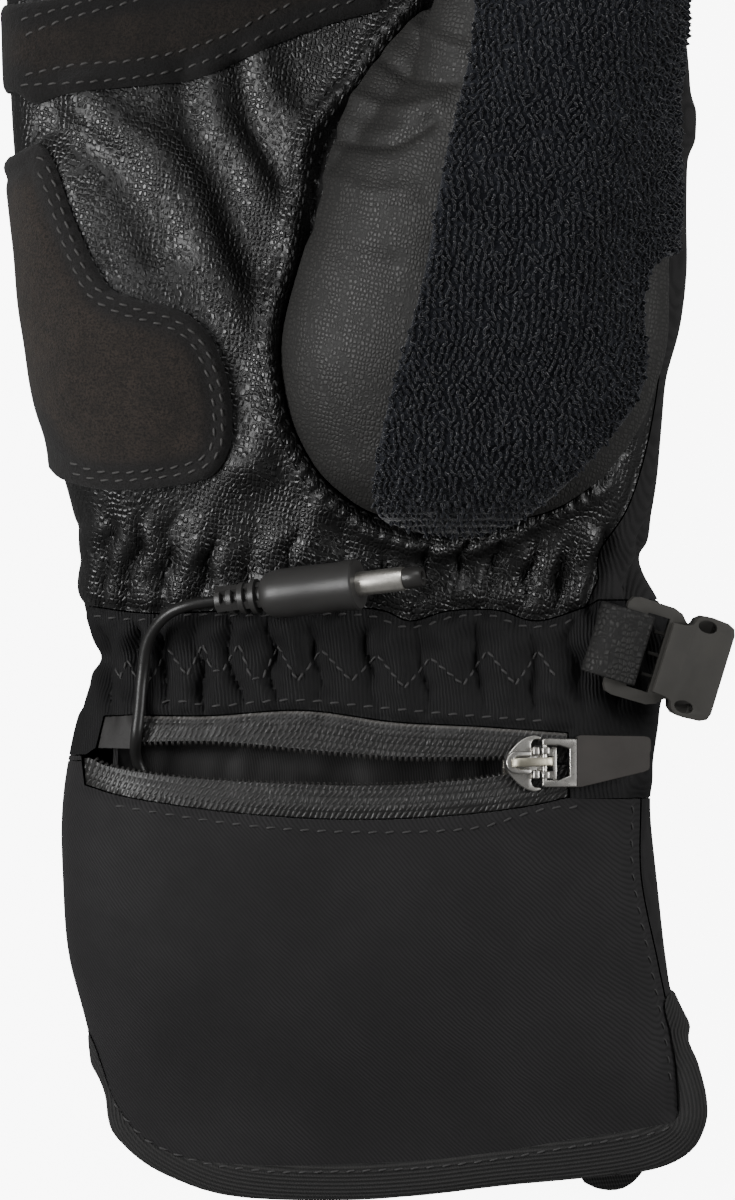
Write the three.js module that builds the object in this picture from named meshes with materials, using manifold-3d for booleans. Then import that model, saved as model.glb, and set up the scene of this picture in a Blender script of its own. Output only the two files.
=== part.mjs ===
// A heated winter gauntlet glove for the right hand, lying on its back with the palm up.
// Millimetres. X runs from the little finger to the thumb, Y from the cuff to the fingertips, Z up.
import * as THREE from "three";
import { mergeVertices } from "three/addons/utils/BufferGeometryUtils.js";
import Module from "manifold-3d";

const wasm = await Module();
wasm.setup();

// Driving sizes
const GAP = 0.3; // clearance between neighbouring pieces
const WALL = 2.2; // softshell or leather with its bonded lining
const FLAT = 1.5; // how far the cloth under the glove is pressed flat
const SIDE_LEVEL = 20; // height of the seam along both sides of the hand
const WRIST_SEAM = 104; // back of the wrist, where gauntlet and hand meet
const FINGER_SEAM = 256; // where the fingers leave the hand

// Points round a section of the hand, thumb, gusset and fingers, outside and inside
const AROUND = 40;
const AROUND_INSIDE = 22;
const AROUND_THUMB = 20;
const AROUND_THUMB_INSIDE = 16;
const AROUND_GUSSET = 12;
const AROUND_GUSSET_INSIDE = 10;
const AROUND_FINGER = 12;
const FOLD_POINTS = 2; // points to one gathered fold

// Limits that pass the glove on every side
const FAR = 90;
const HIGH = 120;
const NEAR_END = -20;
const FAR_END = 340;
const UNDER = -10;

// The glove is drawn about the middle of its palm and then moved onto the middle of its base.
const BASE = { x: -0.1, y: 163.2 };

// The hand and gauntlet, one row for each section: where it is, its left and right edge, its top,
// how square its upper corners are, and how deep its gathered folds stand.
const HAND = [
  { y: -8, left: -54, right: 79, top: 38, square: 2.6, fold: 0 },
  { y: 14, left: -54.4, right: 76, top: 41, square: 2.6, fold: 0 },
  { y: 30, left: -56.6, right: 66, top: 43.6, square: 2.6, fold: 0 },
  { y: 42, left: -59.6, right: 60.6, top: 45.4, square: 2.6, fold: 0 },
  { y: 62, left: -60.8, right: 56.9, top: 46.5, square: 2.5, fold: 0 },
  { y: 80, left: -59.2, right: 57.2, top: 45.5, square: 2.5, fold: 0 },
  { y: 93, left: -57, right: 57.4, top: 44.1, square: 2.5, fold: 0.4 },
  { y: 104, left: -53.2, right: 55.6, top: 42.2, square: 2.5, fold: 1.6 },
  { y: 115, left: -56.3, right: 54.5, top: 43.8, square: 2.5, fold: 1 },
  { y: 126, left: -57.2, right: 55, top: 47, square: 2.5, fold: 0.7 },
  { y: 142, left: -62, right: 57, top: 50.5, square: 2.5, fold: 0 },
  { y: 160, left: -67.6, right: 58.6, top: 53, square: 2.5, fold: 0 },
  { y: 178, left: -69.8, right: 62.8, top: 53, square: 2.5, fold: 0 },
  { y: 200, left: -71.1, right: 63.8, top: 51, square: 2.6, fold: 0 },
  { y: 222, left: -71.6, right: 64.6, top: 46, square: 3, fold: 0 },
  { y: 242, left: -72.5, right: 62.5, top: 40.5, square: 3.5, fold: 0 },
];
// The closed end of the hand between the fingers: distance past the last section and inset there
const HAND_END = [
  { past: 4, inset: 1.8 },
  { past: 6.6, inset: 6 },
];
// The hollow of the palm and the pads on it: middle, rise, and reach across and along
const PALM_SHAPES = [
  { x: -16, y: 196, rise: -5, across: 24, along: 36 },
  { x: -50, y: 168, rise: 2.5, across: 18, along: 30 },
  { x: 2, y: 46, rise: 1.5, across: 44, along: 36 },
];

// The thumb, from its lower end on the palm to its tip: edges and lowest and highest point
const THUMB = [
  { y: 129.8, left: 12, right: 21, low: 46, top: 51 },
  { y: 132, left: 4, right: 31, low: 41, top: 56.5 },
  { y: 138, left: -6, right: 43, low: 35, top: 63 },
  { y: 148, left: -14, right: 53.4, low: 30, top: 68.5 },
  { y: 161, left: -17, right: 58.4, low: 27, top: 73 },
  { y: 178, left: -15, right: 60, low: 25, top: 76 },
  { y: 194, left: -10, right: 60.8, low: 26.5, top: 78 },
  { y: 206, left: -4, right: 60.4, low: 31, top: 78.5 },
  { y: 216, left: 5.5, right: 60.4, low: 37, top: 79 },
  { y: 236, left: 13.7, right: 62, low: 44.5, top: 78 },
  { y: 258, left: 18.2, right: 61.5, low: 43.5, top: 74 },
  { y: 273, left: 22.5, right: 58, low: 44, top: 70 },
  { y: 281, left: 29, right: 52, low: 47.5, top: 65.5 },
  { y: 284, left: 35, right: 46, low: 52, top: 61 },
];
const THUMB_SQUARE = 2.15;
const GUSSET_SQUARE = 2;
// The folded gusset that joins the thumb to the palm at the crotch
const GUSSET = [
  { y: 194, left: -8, right: 20, low: 40, top: 60 },
  { y: 204, left: -8, right: 22, low: 40, top: 59 },
  { y: 214, left: -5, right: 26, low: 38, top: 57 },
  { y: 224, left: 2, right: 30, low: 37, top: 54 },
  { y: 234, left: 11, right: 34, low: 36, top: 50 },
];

// The fingers: middle at the base and at the tip, where the tip ends, and half sizes
const FINGERS = [
  { name: "finger_little", base: -57, tip: -61, end: 299, wide: 14.4, thick: 16 },
  { name: "finger_ring", base: -24.7, tip: -26.5, end: 321, wide: 16.4, thick: 17.5 },
  { name: "finger_middle", base: 9.3, tip: 10, end: 330, wide: 16.6, thick: 17.8 },
  { name: "finger_index", base: 43.3, tip: 46.5, end: 317, wide: 16.4, thick: 17.5 },
];
const FINGER = { start: 234, low: 19.5, raised: 26, tipLength: 15, square: 2.3 };

// Outlines seen from above, as [x, y]. The seams that two pieces share are lists of their own.
const LEATHER_EDGE = [
  [-56.5, 114.8],
  [-33.5, 113.6],
  [1.5, 114.2],
  [8.5, 111.8],
  [16.1, 113.8],
  [25.9, 114],
  [34, 111.8],
  [43.9, 114.6],
];
const LEATHER_SIDE = [
  [46.4, 120.2],
  [46.8, 126],
  [52.7, 135.5],
  [57.2, 152],
  [59.9, 174],
  [60.8, 200],
  [60.8, 262],
];
const TAPE_TOP = [
  [-46.9, 92.9],
  [-31.9, 92.8],
  [-13, 93.9],
  [5.3, 91.6],
  [22, 90.7],
  [40.2, 89.4],
];
const TEETH_ABOVE = [
  [-46.9, 87.4],
  [-30, 87.5],
  [-9, 85.7],
  [8, 84.5],
  [31.5, 84.6],
  [32.5, 83.35],
  [40.2, 83.35],
];
const TEETH_BELOW = [
  [-55.8, 84.3],
  [-50.7, 82.4],
  [-33, 80.2],
  [-2.3, 79],
  [18, 79.9],
  [28, 81.2],
  [32.5, 83.05],
  [40.2, 83.05],
];
const TAPE_BOTTOM = [
  [-56.9, 78.8],
  [-48, 76.4],
  [-30, 73.8],
  [-12.5, 72.4],
  [3, 72.2],
  [18, 73],
  [31, 74.5],
  [40.2, 76.4],
];
const ZIP_END = [
  [-53.9, 86.3],
  [-47.4, 86.3],
  [-47.4, 92.6],
  [-52.5, 92],
];
const GAUNTLET_SEAM = [
  [55.2, 76],
  [55.2, 60],
  [58.6, 43],
  [61.6, 27.6],
  [62.6, 12],
];
// The mouth of the gauntlet and the upper edge of its binding, left to right
const HEM = [
  [-60, 22],
  [-53.4, 16],
  [-50.7, 11.8],
  [-44.7, 4.6],
  [-38.1, 0.6],
  [-30.3, -2.6],
  [-20, -3.6],
  [-3.5, -3.6],
  [11.7, -2],
  [27.1, -0.6],
  [42.5, 0.8],
  [57.2, 2.7],
  [64.8, 6],
  [67.8, 11],
  [67.9, 16],
  [66.2, 22.5],
  [63.8, 29],
  [70, 36],
];
const BINDING_TOP = [
  [-60, 28],
  [-53.4, 22.5],
  [-51.2, 18],
  [-46.6, 10.8],
  [-40.5, 6.6],
  [-32.9, 4.2],
  [-18, 3.4],
  [-3.5, 4],
  [11.7, 5],
  [27.1, 6.6],
  [42.5, 9.2],
  [57, 11.4],
  [62.4, 12.8],
  [62.2, 20],
  [61, 28],
  [60.4, 36],
  [70, 40],
];
const HEEL_PATCH = [
  [-FAR, 205.6],
  [-71.5, 205.4],
  [-66, 207.6],
  [-62.7, 203.8],
  [-58.1, 191.2],
  [-52.1, 179.4],
  [-46.9, 176.4],
  [-37.7, 173.8],
  [-31.5, 169],
  [-27.5, 159],
  [-26.9, 148.5],
  [-29.7, 141.8],
  [-36, 139],
  [-50.5, 137.8],
  [-61.3, 140],
  [-FAR, 146],
];
const BAND_BELOW = [
  [-FAR, 218.5],
  [-70.9, 218.2],
  [-66.9, 215.4],
  [-60, 217.2],
  [-42.9, 219],
  [-32.7, 220.6],
  [-20, 226.4],
  [-7.1, 231.4],
  [4, 234.4],
];
const BAND_ABOVE = [
  [6.5, 243],
  [-12, 243.4],
  [-40, 240.6],
  [-66, 236.6],
  [-FAR, 236.4],
];
const TERRY = [
  [21.1, 236],
  [20.1, 224],
  [15.1, 202.6],
  [11.6, 183],
  [9.3, 173.2],
  [4.7, 157.4],
  [1.5, 142.6],
  [1.5, 128],
  [20, 126],
  [34.7, 134.6],
  [47.5, 147.2],
  [55.1, 159.4],
  [57.9, 183],
  [FAR, 195],
  [FAR, 270],
  [44, 279],
  [31, 272],
  [24, 258],
];
const POCKET = [
  [-42, 13],
  [42, 13],
  [46, 40],
  [46, 73],
  [42, 89],
  [-50, 89],
  [-50, 62],
  [-46, 34],
];
const POCKET_DEPTH = 8;
const LINING = 1.2;
const BINDING_OVER = 0.8; // how far the binding stands out from the cloth, inside and outside
const TAPE = { sunk: 0.5, thick: 1.4 };
const PATCH_THICK = { suede: 1.3, heel: 1.9, terry: 1.8 };

// Materials
const looks = {
  leather: { color: 0x17171a, roughness: 0.5, metalness: 0 },
  softshell: { color: 0x1b1b1d, roughness: 0.85, metalness: 0 },
  suede: { color: 0x262220, roughness: 0.95, metalness: 0 },
  terry: { color: 0x171a20, roughness: 1, metalness: 0 },
  lining: { color: 0x111112, roughness: 0.95, metalness: 0 },
  tape: { color: 0x2a2a2c, roughness: 0.45, metalness: 0 },
  elastic: { color: 0x1c1c1a, roughness: 0.9, metalness: 0 },
  rubber: { color: 0x403e3b, roughness: 0.7, metalness: 0 },
  plastic: { color: 0x3a3936, roughness: 0.5, metalness: 0 },
  metal: { color: 0xa9a7a2, roughness: 0.35, metalness: 1 },
  nickel: { color: 0xd8d3c8, roughness: 0.2, metalness: 1 },
};

const glove = new THREE.Group();
const zipPull = new THREE.Group();
const toRadians = THREE.MathUtils.degToRad;

// Solids

// A geometry as a manifold solid
function solid(geometry) {
  const bare = geometry.clone();
  bare.deleteAttribute("normal");
  bare.deleteAttribute("uv");
  const merged = mergeVertices(bare, 1e-4);
  return new wasm.Manifold(
    new wasm.Mesh({
      numProp: 3,
      vertProperties: merged.attributes.position.array,
      triVerts: new Uint32Array(merged.index.array),
    }),
  );
}

// The largest body of a solid, without the crumbs that a cut can leave
function largest(made) {
  const bodies = made.decompose();
  return bodies.reduce((a, b) => (a.volume() > b.volume() ? a : b));
}

function add(name, made, look, group = glove) {
  const { numProp, vertProperties, triVerts } = largest(made).getMesh();
  const geometry = new THREE.BufferGeometry();
  const position = new Float32Array((vertProperties.length / numProp) * 3);
  for (let i = 0; i < position.length / 3; i++) {
    position.set(vertProperties.subarray(i * numProp, i * numProp + 3), i * 3);
  }
  geometry.setAttribute("position", new THREE.BufferAttribute(position, 3));
  geometry.setIndex(new THREE.BufferAttribute(triVerts, 1));
  geometry.computeVertexNormals();
  const mesh = new THREE.Mesh(geometry, new THREE.MeshStandardMaterial(looks[look]));
  mesh.name = name;
  group.add(mesh);
  return mesh;
}

// A closed skin over rings that all have the same number of points, going along +Y
function skinOver(rings) {
  const count = rings[0].length;
  const points = rings.flat();
  const faces = [];
  for (let ring = 0; ring + 1 < rings.length; ring++) {
    for (let i = 0; i < count; i++) {
      const a = ring * count + i;
      const b = ring * count + ((i + 1) % count);
      faces.push(a, a + count, b, b, a + count, b + count);
    }
  }
  for (const [ring, turned] of [
    [0, false],
    [rings.length - 1, true],
  ]) {
    const middle = new THREE.Vector3();
    rings[ring].forEach((p) => middle.addScaledVector(p, 1 / count));
    const centre = points.push(middle) - 1;
    for (let i = 0; i < count; i++) {
      const a = ring * count + i;
      const b = ring * count + ((i + 1) % count);
      faces.push(...(turned ? [centre, b, a] : [centre, a, b]));
    }
  }
  const geometry = new THREE.BufferGeometry().setFromPoints(points);
  geometry.setIndex(faces);
  return solid(geometry);
}

// One ring: a superellipse whose lower half may be squarer than its upper half
function ring({ y, left, right, low, top, square, squareBelow }, count) {
  const middle = (left + right) / 2;
  const level = (low + top) / 2;
  const points = [];
  for (let i = 0; i < count; i++) {
    const turn = (2 * Math.PI * i) / count;
    const c = Math.cos(turn);
    const s = Math.sin(turn);
    const power = 2 / (s >= 0 ? square : squareBelow);
    const x = middle + ((right - left) / 2) * Math.sign(c) * Math.abs(c) ** power;
    const z = level + ((top - low) / 2) * Math.sign(s) * Math.abs(s) ** power;
    points.push(new THREE.Vector3(x, y, z));
  }
  return points;
}

// The thumb with its gusset
function thumbForm(grow) {
  const tube = tubeForm(THUMB, grow, THUMB_SQUARE, AROUND_THUMB);
  return tube.add(tubeForm(GUSSET, grow, GUSSET_SQUARE, AROUND_GUSSET));
}

// How far the palm's shapes lift the front at a place
function palmRise(x, y) {
  return PALM_SHAPES.reduce((sum, s) => {
    const away = ((x - s.x) / s.across) ** 2 + ((y - s.y) / s.along) ** 2;
    return sum + s.rise * Math.exp(-away);
  }, 0);
}

// The hand and gauntlet, grown outwards by an amount, or inwards by a negative one
function handForm(grow, count = AROUND) {
  const coarse = count === AROUND_INSIDE;
  const used = HAND.filter((row, i) => !coarse || i % 2 === 1 || i === 0);
  const rows = used.map((row) => ({ ...row, inset: 0 }));
  const last = HAND[HAND.length - 1];
  for (const { past, inset } of HAND_END) {
    rows.push({ ...last, y: last.y + past + grow, inset });
  }
  rows[0].y -= 1;
  const folded = !coarse;
  const rings = rows.map((row) => {
    const points = ring(
      {
        y: row.y,
        left: row.left - grow + row.inset,
        right: row.right + grow - row.inset,
        low: grow > 0 ? -FLAT - grow : -FLAT - grow + row.inset,
        top: row.top + grow - row.inset,
        square: row.square,
        squareBelow: 4,
      },
      count,
    );
    points.forEach((p, i) => {
      const level = (row.top - FLAT) / 2;
      const above = THREE.MathUtils.smoothstep(p.z, level, level + 14);
      p.z += above * palmRise(p.x, p.y);
      const crest = folded && i % FOLD_POINTS < FOLD_POINTS / 2;
      const out = p.clone().sub(new THREE.Vector3((row.left + row.right) / 2, p.y, level));
      if (crest) p.addScaledVector(out.normalize(), row.fold);
    });
    return points;
  });
  return skinOver(rings);
}

function tubeForm(rows, grow, square, count) {
  const rings = rows.map((row, i) =>
    ring(
      {
        y: row.y + (i === 0 ? -grow : i === rows.length - 1 ? grow : 0),
        left: row.left - grow,
        right: row.right + grow,
        low: row.low - grow,
        top: row.top + grow,
        square,
        squareBelow: square,
      },
      count,
    ),
  );
  return skinOver(rings);
}

// A finger's sections: straight to the tip, then rounded off
function fingerRows(finger, grow) {
  const end = finger.end + grow;
  const straight = end - FINGER.tipLength;
  const stations = [0, 0.5, 1].map((t) => ({
    y: FINGER.start + t * (straight - FINGER.start),
    size: 1,
  }));
  for (const t of [0.5, 0.82, 1]) {
    stations.push({
      y: straight + t * FINGER.tipLength,
      size: Math.max(0.2, Math.sqrt(1 - t * t)),
    });
  }
  return stations.map(({ y, size }) => {
    const along = (y - FINGER.start) / (finger.end - FINGER.start);
    const x = THREE.MathUtils.lerp(finger.base, finger.tip, along);
    const z = THREE.MathUtils.lerp(FINGER.low, FINGER.raised, along ** 1.5);
    const taper = 1 - 0.14 * along;
    return {
      y,
      left: x - (finger.wide * taper + grow) * size,
      right: x + (finger.wide * taper + grow) * size,
      low: z - (finger.thick * taper + grow) * size,
      top: z + (finger.thick * taper + grow) * size,
    };
  });
}

// A finger's form starts inside the hand, so that both hollows meet.
function fingerForm(finger, grow) {
  return tubeForm(fingerRows(finger, grow), 0, FINGER.square, AROUND_FINGER);
}

// An outline moved outwards by an amount
function grown(outline, amount) {
  const count = outline.length;
  const area = outline.reduce((sum, [x, y], i) => {
    const [nextX, nextY] = outline[(i + 1) % count];
    return sum + x * nextY - nextX * y;
  }, 0);
  const turn = Math.sign(area);
  return outline.map(([x, y], i) => {
    const [beforeX, beforeY] = outline[(i + count - 1) % count];
    const [nextX, nextY] = outline[(i + 1) % count];
    const a = new THREE.Vector2(y - beforeY, beforeX - x).normalize();
    const b = new THREE.Vector2(nextY - y, x - nextX).normalize();
    const out = a.clone().add(b).normalize();
    const reach = (turn * amount) / Math.max(0.35, out.dot(a));
    return [x + out.x * reach, y + out.y * reach];
  });
}

// Everything above an outline, between two heights
function column(outline, low = SIDE_LEVEL, high = HIGH) {
  const shape = new THREE.Shape(outline.map(([x, y]) => new THREE.Vector2(x, y)));
  const geometry = new THREE.ExtrudeGeometry(shape, { depth: high - low, bevelEnabled: false });
  geometry.translate(0, 0, low);
  return solid(geometry);
}

function box(x0, x1, y0, y1, z0, z1) {
  const geometry = new THREE.BoxGeometry(x1 - x0, y1 - y0, z1 - z0);
  geometry.translate((x0 + x1) / 2, (y0 + y1) / 2, (z0 + z1) / 2);
  return solid(geometry);
}

// The part of an outline's column that one piece takes, and the part that its neighbours leave free
function within(outline) {
  return column(grown(outline, -GAP / 2), SIDE_LEVEL + GAP / 2);
}
function around(outline) {
  return column(grown(outline, GAP / 2), SIDE_LEVEL - GAP / 2);
}

// The height of the front of the hand at a place, a distance outside its skin
function frontHeight(x, y, out = 0) {
  const next = HAND.findIndex((row) => row.y > y);
  const a = HAND[next - 1];
  const b = HAND[next];
  const t = (y - a.y) / (b.y - a.y);
  const at = (key) => THREE.MathUtils.lerp(a[key], b[key], t);
  const half = (at("right") - at("left")) / 2 + out;
  const middle = (at("right") + at("left")) / 2;
  const level = (at("top") - FLAT) / 2;
  const share = Math.min(1, Math.abs(x - middle) / half);
  const rise = (at("top") + FLAT) / 2 + out;
  const square = at("square");
  return level + rise * (1 - share ** square) ** (1 / square) + palmRise(x, y);
}

// The forms that the pieces are cut from
const aboveTable = box(-FAR, FAR, NEAR_END, FAR_END, 0, HIGH);
const aboveLining = box(-FAR, FAR, NEAR_END, FAR_END, WALL, HIGH);
const hand = handForm(0).intersect(aboveTable);
const handHollow = handForm(-WALL, AROUND_INSIDE).intersect(aboveLining);
const thumb = thumbForm(0);
const thumbCut = thumbForm(GAP);
const thumbHollow = tubeForm(THUMB.slice(2, -1), -WALL, THUMB_SQUARE, AROUND_THUMB_INSIDE).add(
  tubeForm(GUSSET, -WALL, GUSSET_SQUARE, AROUND_GUSSET_INSIDE),
);
const fingers = FINGERS.map((f) => fingerForm(f, 0)).reduce((a, b) => a.add(b));
const fingerHollows = FINGERS.map((f) => fingerForm(f, -WALL)).reduce((a, b) => a.add(b));
const hollow = handHollow.add(thumbHollow).add(fingerHollows);
const wall = hand.add(fingers).subtract(hollow);

// Regions of the front
const leatherRegion = [
  [-FAR, 114.8],
  ...LEATHER_EDGE,
  ...LEATHER_SIDE,
  [-FAR, 262],
];
const wristRegion = [
  [-FAR, 83],
  [-56.6, 84.8],
  [-54.6, 86.2],
  [-53, 92.6],
  ...TAPE_TOP,
  [40.5, 76.1],
  [55.2, 76],
  [FAR, 76],
  [FAR, 116],
  [46.4, 116],
  ...LEATHER_EDGE.slice().reverse(),
  [-FAR, 114.8],
];
const pocketRegion = [
  [-FAR, 82.7],
  [-57.5, 83.6],
  ...TAPE_BOTTOM,
  ...GAUNTLET_SEAM,
  [62.6, NEAR_END],
  [-FAR, NEAR_END],
];
const zipRegion = [
  [-57.6, 84.6],
  [-54.6, 86.2],
  [-53, 92.6],
  ...TAPE_TOP,
  ...TAPE_BOTTOM.slice().reverse(),
];
const upperTapeRegion = [...TAPE_TOP, ...TEETH_ABOVE.slice().reverse()];
const lowerTapeRegion = [...TEETH_BELOW, ...TAPE_BOTTOM.slice().reverse()];
const bandRegion = [...BAND_BELOW, ...BAND_ABOVE];
const hemRegion = [...HEM, [FAR, 36], [FAR, 300], [-FAR, 300], [-FAR, 22]];
const bodyRegion = [...BINDING_TOP, [FAR, 40], [FAR, 300], [-FAR, 300], [-FAR, 28]];

const insideHem = column(hemRegion, UNDER);
const insideBinding = column(grown(bodyRegion, -GAP / 2), UNDER);
const outsideBinding = column(grown(bodyRegion, GAP / 2), UNDER);
const aboveWrist = box(-FAR, FAR, WRIST_SEAM + GAP / 2, FINGER_SEAM - GAP / 2, UNDER, HIGH);
const belowWrist = box(-FAR, FAR, NEAR_END, WRIST_SEAM - GAP / 2, UNDER, HIGH);
const belowFingers = box(-FAR, FAR, WRIST_SEAM, FINGER_SEAM - GAP / 2, UNDER, HIGH);
const aboveFingers = box(-FAR, FAR, FINGER_SEAM + GAP / 2, FAR_END, UNDER, HIGH);

// Hand
add(
  "palm_panel",
  wall.intersect(within(leatherRegion)).intersect(belowFingers).subtract(thumbCut),
  "leather",
);
add(
  "back_panel",
  wall
    .intersect(aboveWrist)
    .subtract(around(leatherRegion))
    .subtract(around(wristRegion))
    .subtract(thumbCut),
  "softshell",
);
for (const finger of FINGERS) {
  add(finger.name, fingerForm(finger, 0).subtract(hollow).intersect(aboveFingers), "leather");
}

// Thumb
add("thumb_shell", thumb.subtract(hollow), "leather");
const terryLayer = tubeForm(THUMB, GAP + PATCH_THICK.terry, THUMB_SQUARE, AROUND_THUMB).subtract(
  tubeForm(THUMB, GAP, THUMB_SQUARE, AROUND_THUMB),
);
const clearOfHand = handForm(GAP).add(tubeForm(GUSSET, GAP, GUSSET_SQUARE, AROUND_GUSSET));
add(
  "thumb_terry",
  terryLayer.intersect(column(TERRY, 40)).subtract(clearOfHand),
  "terry",
);

// Patches on the palm
const patchBase = handForm(GAP);
const bandLayer = handForm(GAP + PATCH_THICK.suede).subtract(patchBase);
const heelLayer = handForm(GAP + PATCH_THICK.heel).subtract(patchBase);
const thumbRoom = thumbForm(2 * GAP);
add("knuckle_band", bandLayer.intersect(within(bandRegion)).subtract(thumbRoom), "suede");
add("heel_patch", heelLayer.intersect(within(HEEL_PATCH)), "suede");

// Wrist and gauntlet
add("wrist_front", wall.intersect(within(wristRegion)), "softshell");
add(
  "pocket_front",
  wall.intersect(within(pocketRegion)).intersect(insideBinding),
  "softshell",
);
add(
  "gauntlet_back",
  wall
    .intersect(belowWrist)
    .subtract(around(wristRegion))
    .subtract(around(pocketRegion))
    .subtract(around(zipRegion))
    .intersect(insideBinding),
  "softshell",
);
const aboveBinding = box(-FAR, FAR, NEAR_END, FAR_END, WALL + BINDING_OVER, HIGH);
const mouthHollow = handForm(-WALL - BINDING_OVER, AROUND_INSIDE).intersect(aboveBinding);
const mouth = handForm(BINDING_OVER).intersect(aboveTable).subtract(mouthHollow);
add("cuff_binding", mouth.intersect(insideHem).subtract(outsideBinding), "elastic");

// Battery pocket behind the zip
const liningTop = handForm(-WALL - GAP, AROUND_INSIDE);
const liningBottom = handForm(-WALL - GAP - POCKET_DEPTH - LINING, AROUND_INSIDE);
const pocketSpace = handForm(0, AROUND_INSIDE)
  .subtract(handForm(-WALL - GAP - POCKET_DEPTH, AROUND_INSIDE))
  .intersect(column(POCKET));
add(
  "pocket_lining",
  liningTop.subtract(liningBottom).intersect(column(grown(POCKET, LINING))).subtract(pocketSpace),
  "lining",
);

// Zip
const tapeLayer = handForm(-TAPE.sunk).subtract(handForm(-TAPE.sunk - TAPE.thick));
add("zip_tape_upper", tapeLayer.intersect(within(upperTapeRegion)), "tape");
add("zip_tape_lower", tapeLayer.intersect(within(lowerTapeRegion)), "tape");
add("zip_end_tab", tapeLayer.intersect(within(ZIP_END)), "tape");

// Slider, drawn lying flat with its nose to the left, middle on the zip
const SLIDER = { x: 32, y: 83.2, plateLow: 0.3, plateTop: 1.5, footTop: -1.7, footLow: -2.7 };
const NECK = { left: -4.4, right: -2.6, half: 0.9 };
const FOOT = { left: -4.6, right: 2.4, half: 3.4 };
const BAIL = { left: -4.2, right: 4.7, leg: 0.8, width: 2.8, clear: 3.4, top: 4.4 };
const HINGE = { x: 3, z: 2.4, bar: 0.55 };
const FRAME = { end: 6.9, half: 4.8, thick: 1.2, windowEnd: 5.1, windowHalf: 3.5, barEnds: 0.5 };
const TAB_THICK = 1.8;
const TAB_BEVEL = 0.3;
const PLATE = [
  [-5, 0],
  [-4.3, 2],
  [-2.8, 3.9],
  [-0.6, 5.1],
  [2.3, 5.3],
  [2.3, 2],
  [4.7, 1.9],
];
const TAB = [
  [7.2, -4.7],
  [20.3, -1.5],
  [21.5, -0.8],
  [21.6, 4.9],
  [20.5, 5.6],
  [7.2, 5.6],
];

// An outline extruded to a thickness
function slab(outline, low, high, bevel = 0) {
  const shape = new THREE.Shape(outline.map(([x, y]) => new THREE.Vector2(x, y)));
  const geometry = new THREE.ExtrudeGeometry(shape, {
    depth: high - low - 2 * bevel,
    bevelEnabled: bevel > 0,
    bevelSize: bevel,
    bevelThickness: bevel,
    bevelOffset: -bevel,
    bevelSegments: 1,
  });
  geometry.translate(0, 0, low + bevel);
  return solid(geometry);
}

// The upper half of an outline with its mirror image
function mirrored(outline) {
  const below = outline.map(([x, y]) => [x, -y]).reverse();
  return [...outline, ...below.filter(([, y]) => y !== 0)];
}

// The slider follows the slope of the front over its own half length and half width.
const ALONG = 5;
const ACROSS = 4;
const sliderSeat = frontHeight(SLIDER.x, SLIDER.y, -TAPE.sunk);
const sliderFall = frontHeight(SLIDER.x - ALONG, SLIDER.y) - frontHeight(SLIDER.x + ALONG, SLIDER.y);
const sliderRise = frontHeight(SLIDER.x, SLIDER.y + ACROSS) - frontHeight(SLIDER.x, SLIDER.y - ACROSS);
const zip = new THREE.Group();
zip.position.set(SLIDER.x, SLIDER.y, sliderSeat);
zip.rotation.set(Math.atan(sliderRise / (2 * ACROSS)), Math.atan(sliderFall / (2 * ALONG)), 0);
glove.add(zip);

const plate = slab(mirrored(PLATE), SLIDER.plateLow, SLIDER.plateTop);
const neck = box(NECK.left, NECK.right, -NECK.half, NECK.half, SLIDER.footLow, SLIDER.plateTop);
const foot = box(FOOT.left, FOOT.right, -FOOT.half, FOOT.half, SLIDER.footLow, SLIDER.footTop);
const bailBlank = box(
  BAIL.left,
  BAIL.right,
  -BAIL.width / 2,
  BAIL.width / 2,
  SLIDER.plateLow,
  BAIL.top,
);
const bailWindow = box(
  BAIL.left + BAIL.leg,
  BAIL.right - BAIL.leg,
  -BAIL.width,
  BAIL.width,
  SLIDER.plateTop,
  BAIL.clear,
);
add("zip_slider", plate.add(neck).add(foot).add(bailBlank.subtract(bailWindow)), "metal", zip);

// Pull, drawn about its hinge bar, which runs through the bail
zipPull.position.set(HINGE.x, 0, HINGE.z);
zip.add(zipPull);
const barLength = 2 * (FRAME.windowHalf + FRAME.barEnds);
const bar = solid(new THREE.CylinderGeometry(HINGE.bar, HINGE.bar, barLength, 8));
const frameBlank = box(
  -HINGE.bar,
  FRAME.end,
  -FRAME.half,
  FRAME.half,
  -FRAME.thick / 2,
  FRAME.thick / 2,
);
const frameWindow = box(
  -FRAME.end,
  FRAME.windowEnd,
  -FRAME.windowHalf,
  FRAME.windowHalf,
  -FRAME.thick,
  FRAME.thick,
);
add("zip_pull_frame", frameBlank.subtract(frameWindow).add(bar), "metal", zipPull);
add("zip_pull_tab", slab(TAB, -TAB_THICK / 2, TAB_THICK / 2, TAB_BEVEL), "rubber", zipPull);

// Clip socket, drawn along its own axis from the strap's bar to its mouth
const CLIP = { x: 46.7, y: 108.4, above: 4.4, turn: -17, fall: 6, frameHalf: 1.6, bodyHalf: 4.2 };
const CLIP_BEVEL = { frame: 0.4, body: 0.8 };
const CLIP_BAR = { from: 3.4, half: 9 };
const CLIP_SLOT = { from: 7.6, to: 12.2, half: 7.7 };
const CLIP_MOUTH = { from: 14.2, to: 30, half: 7.4, high: 2.7 };
const CLIP_SIDE = { from: 17.2, to: 21.4, half: 6.6, wide: 12 };
const CLIP_FRAME = [
  [3.4, 9.2],
  [4.6, 10],
  [12.6, 10.2],
  [14.2, 9.6],
  [15.4, 7.6],
  [16.2, 7.6],
];
const CLIP_BODY = [
  [12.7, 7.2],
  [15.6, 7.6],
  [16.6, 9.6],
  [18, 10.3],
  [23.6, 10.3],
  [25.2, 9],
];
const STRAP = { half: 7.3, lead: 4 };
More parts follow.
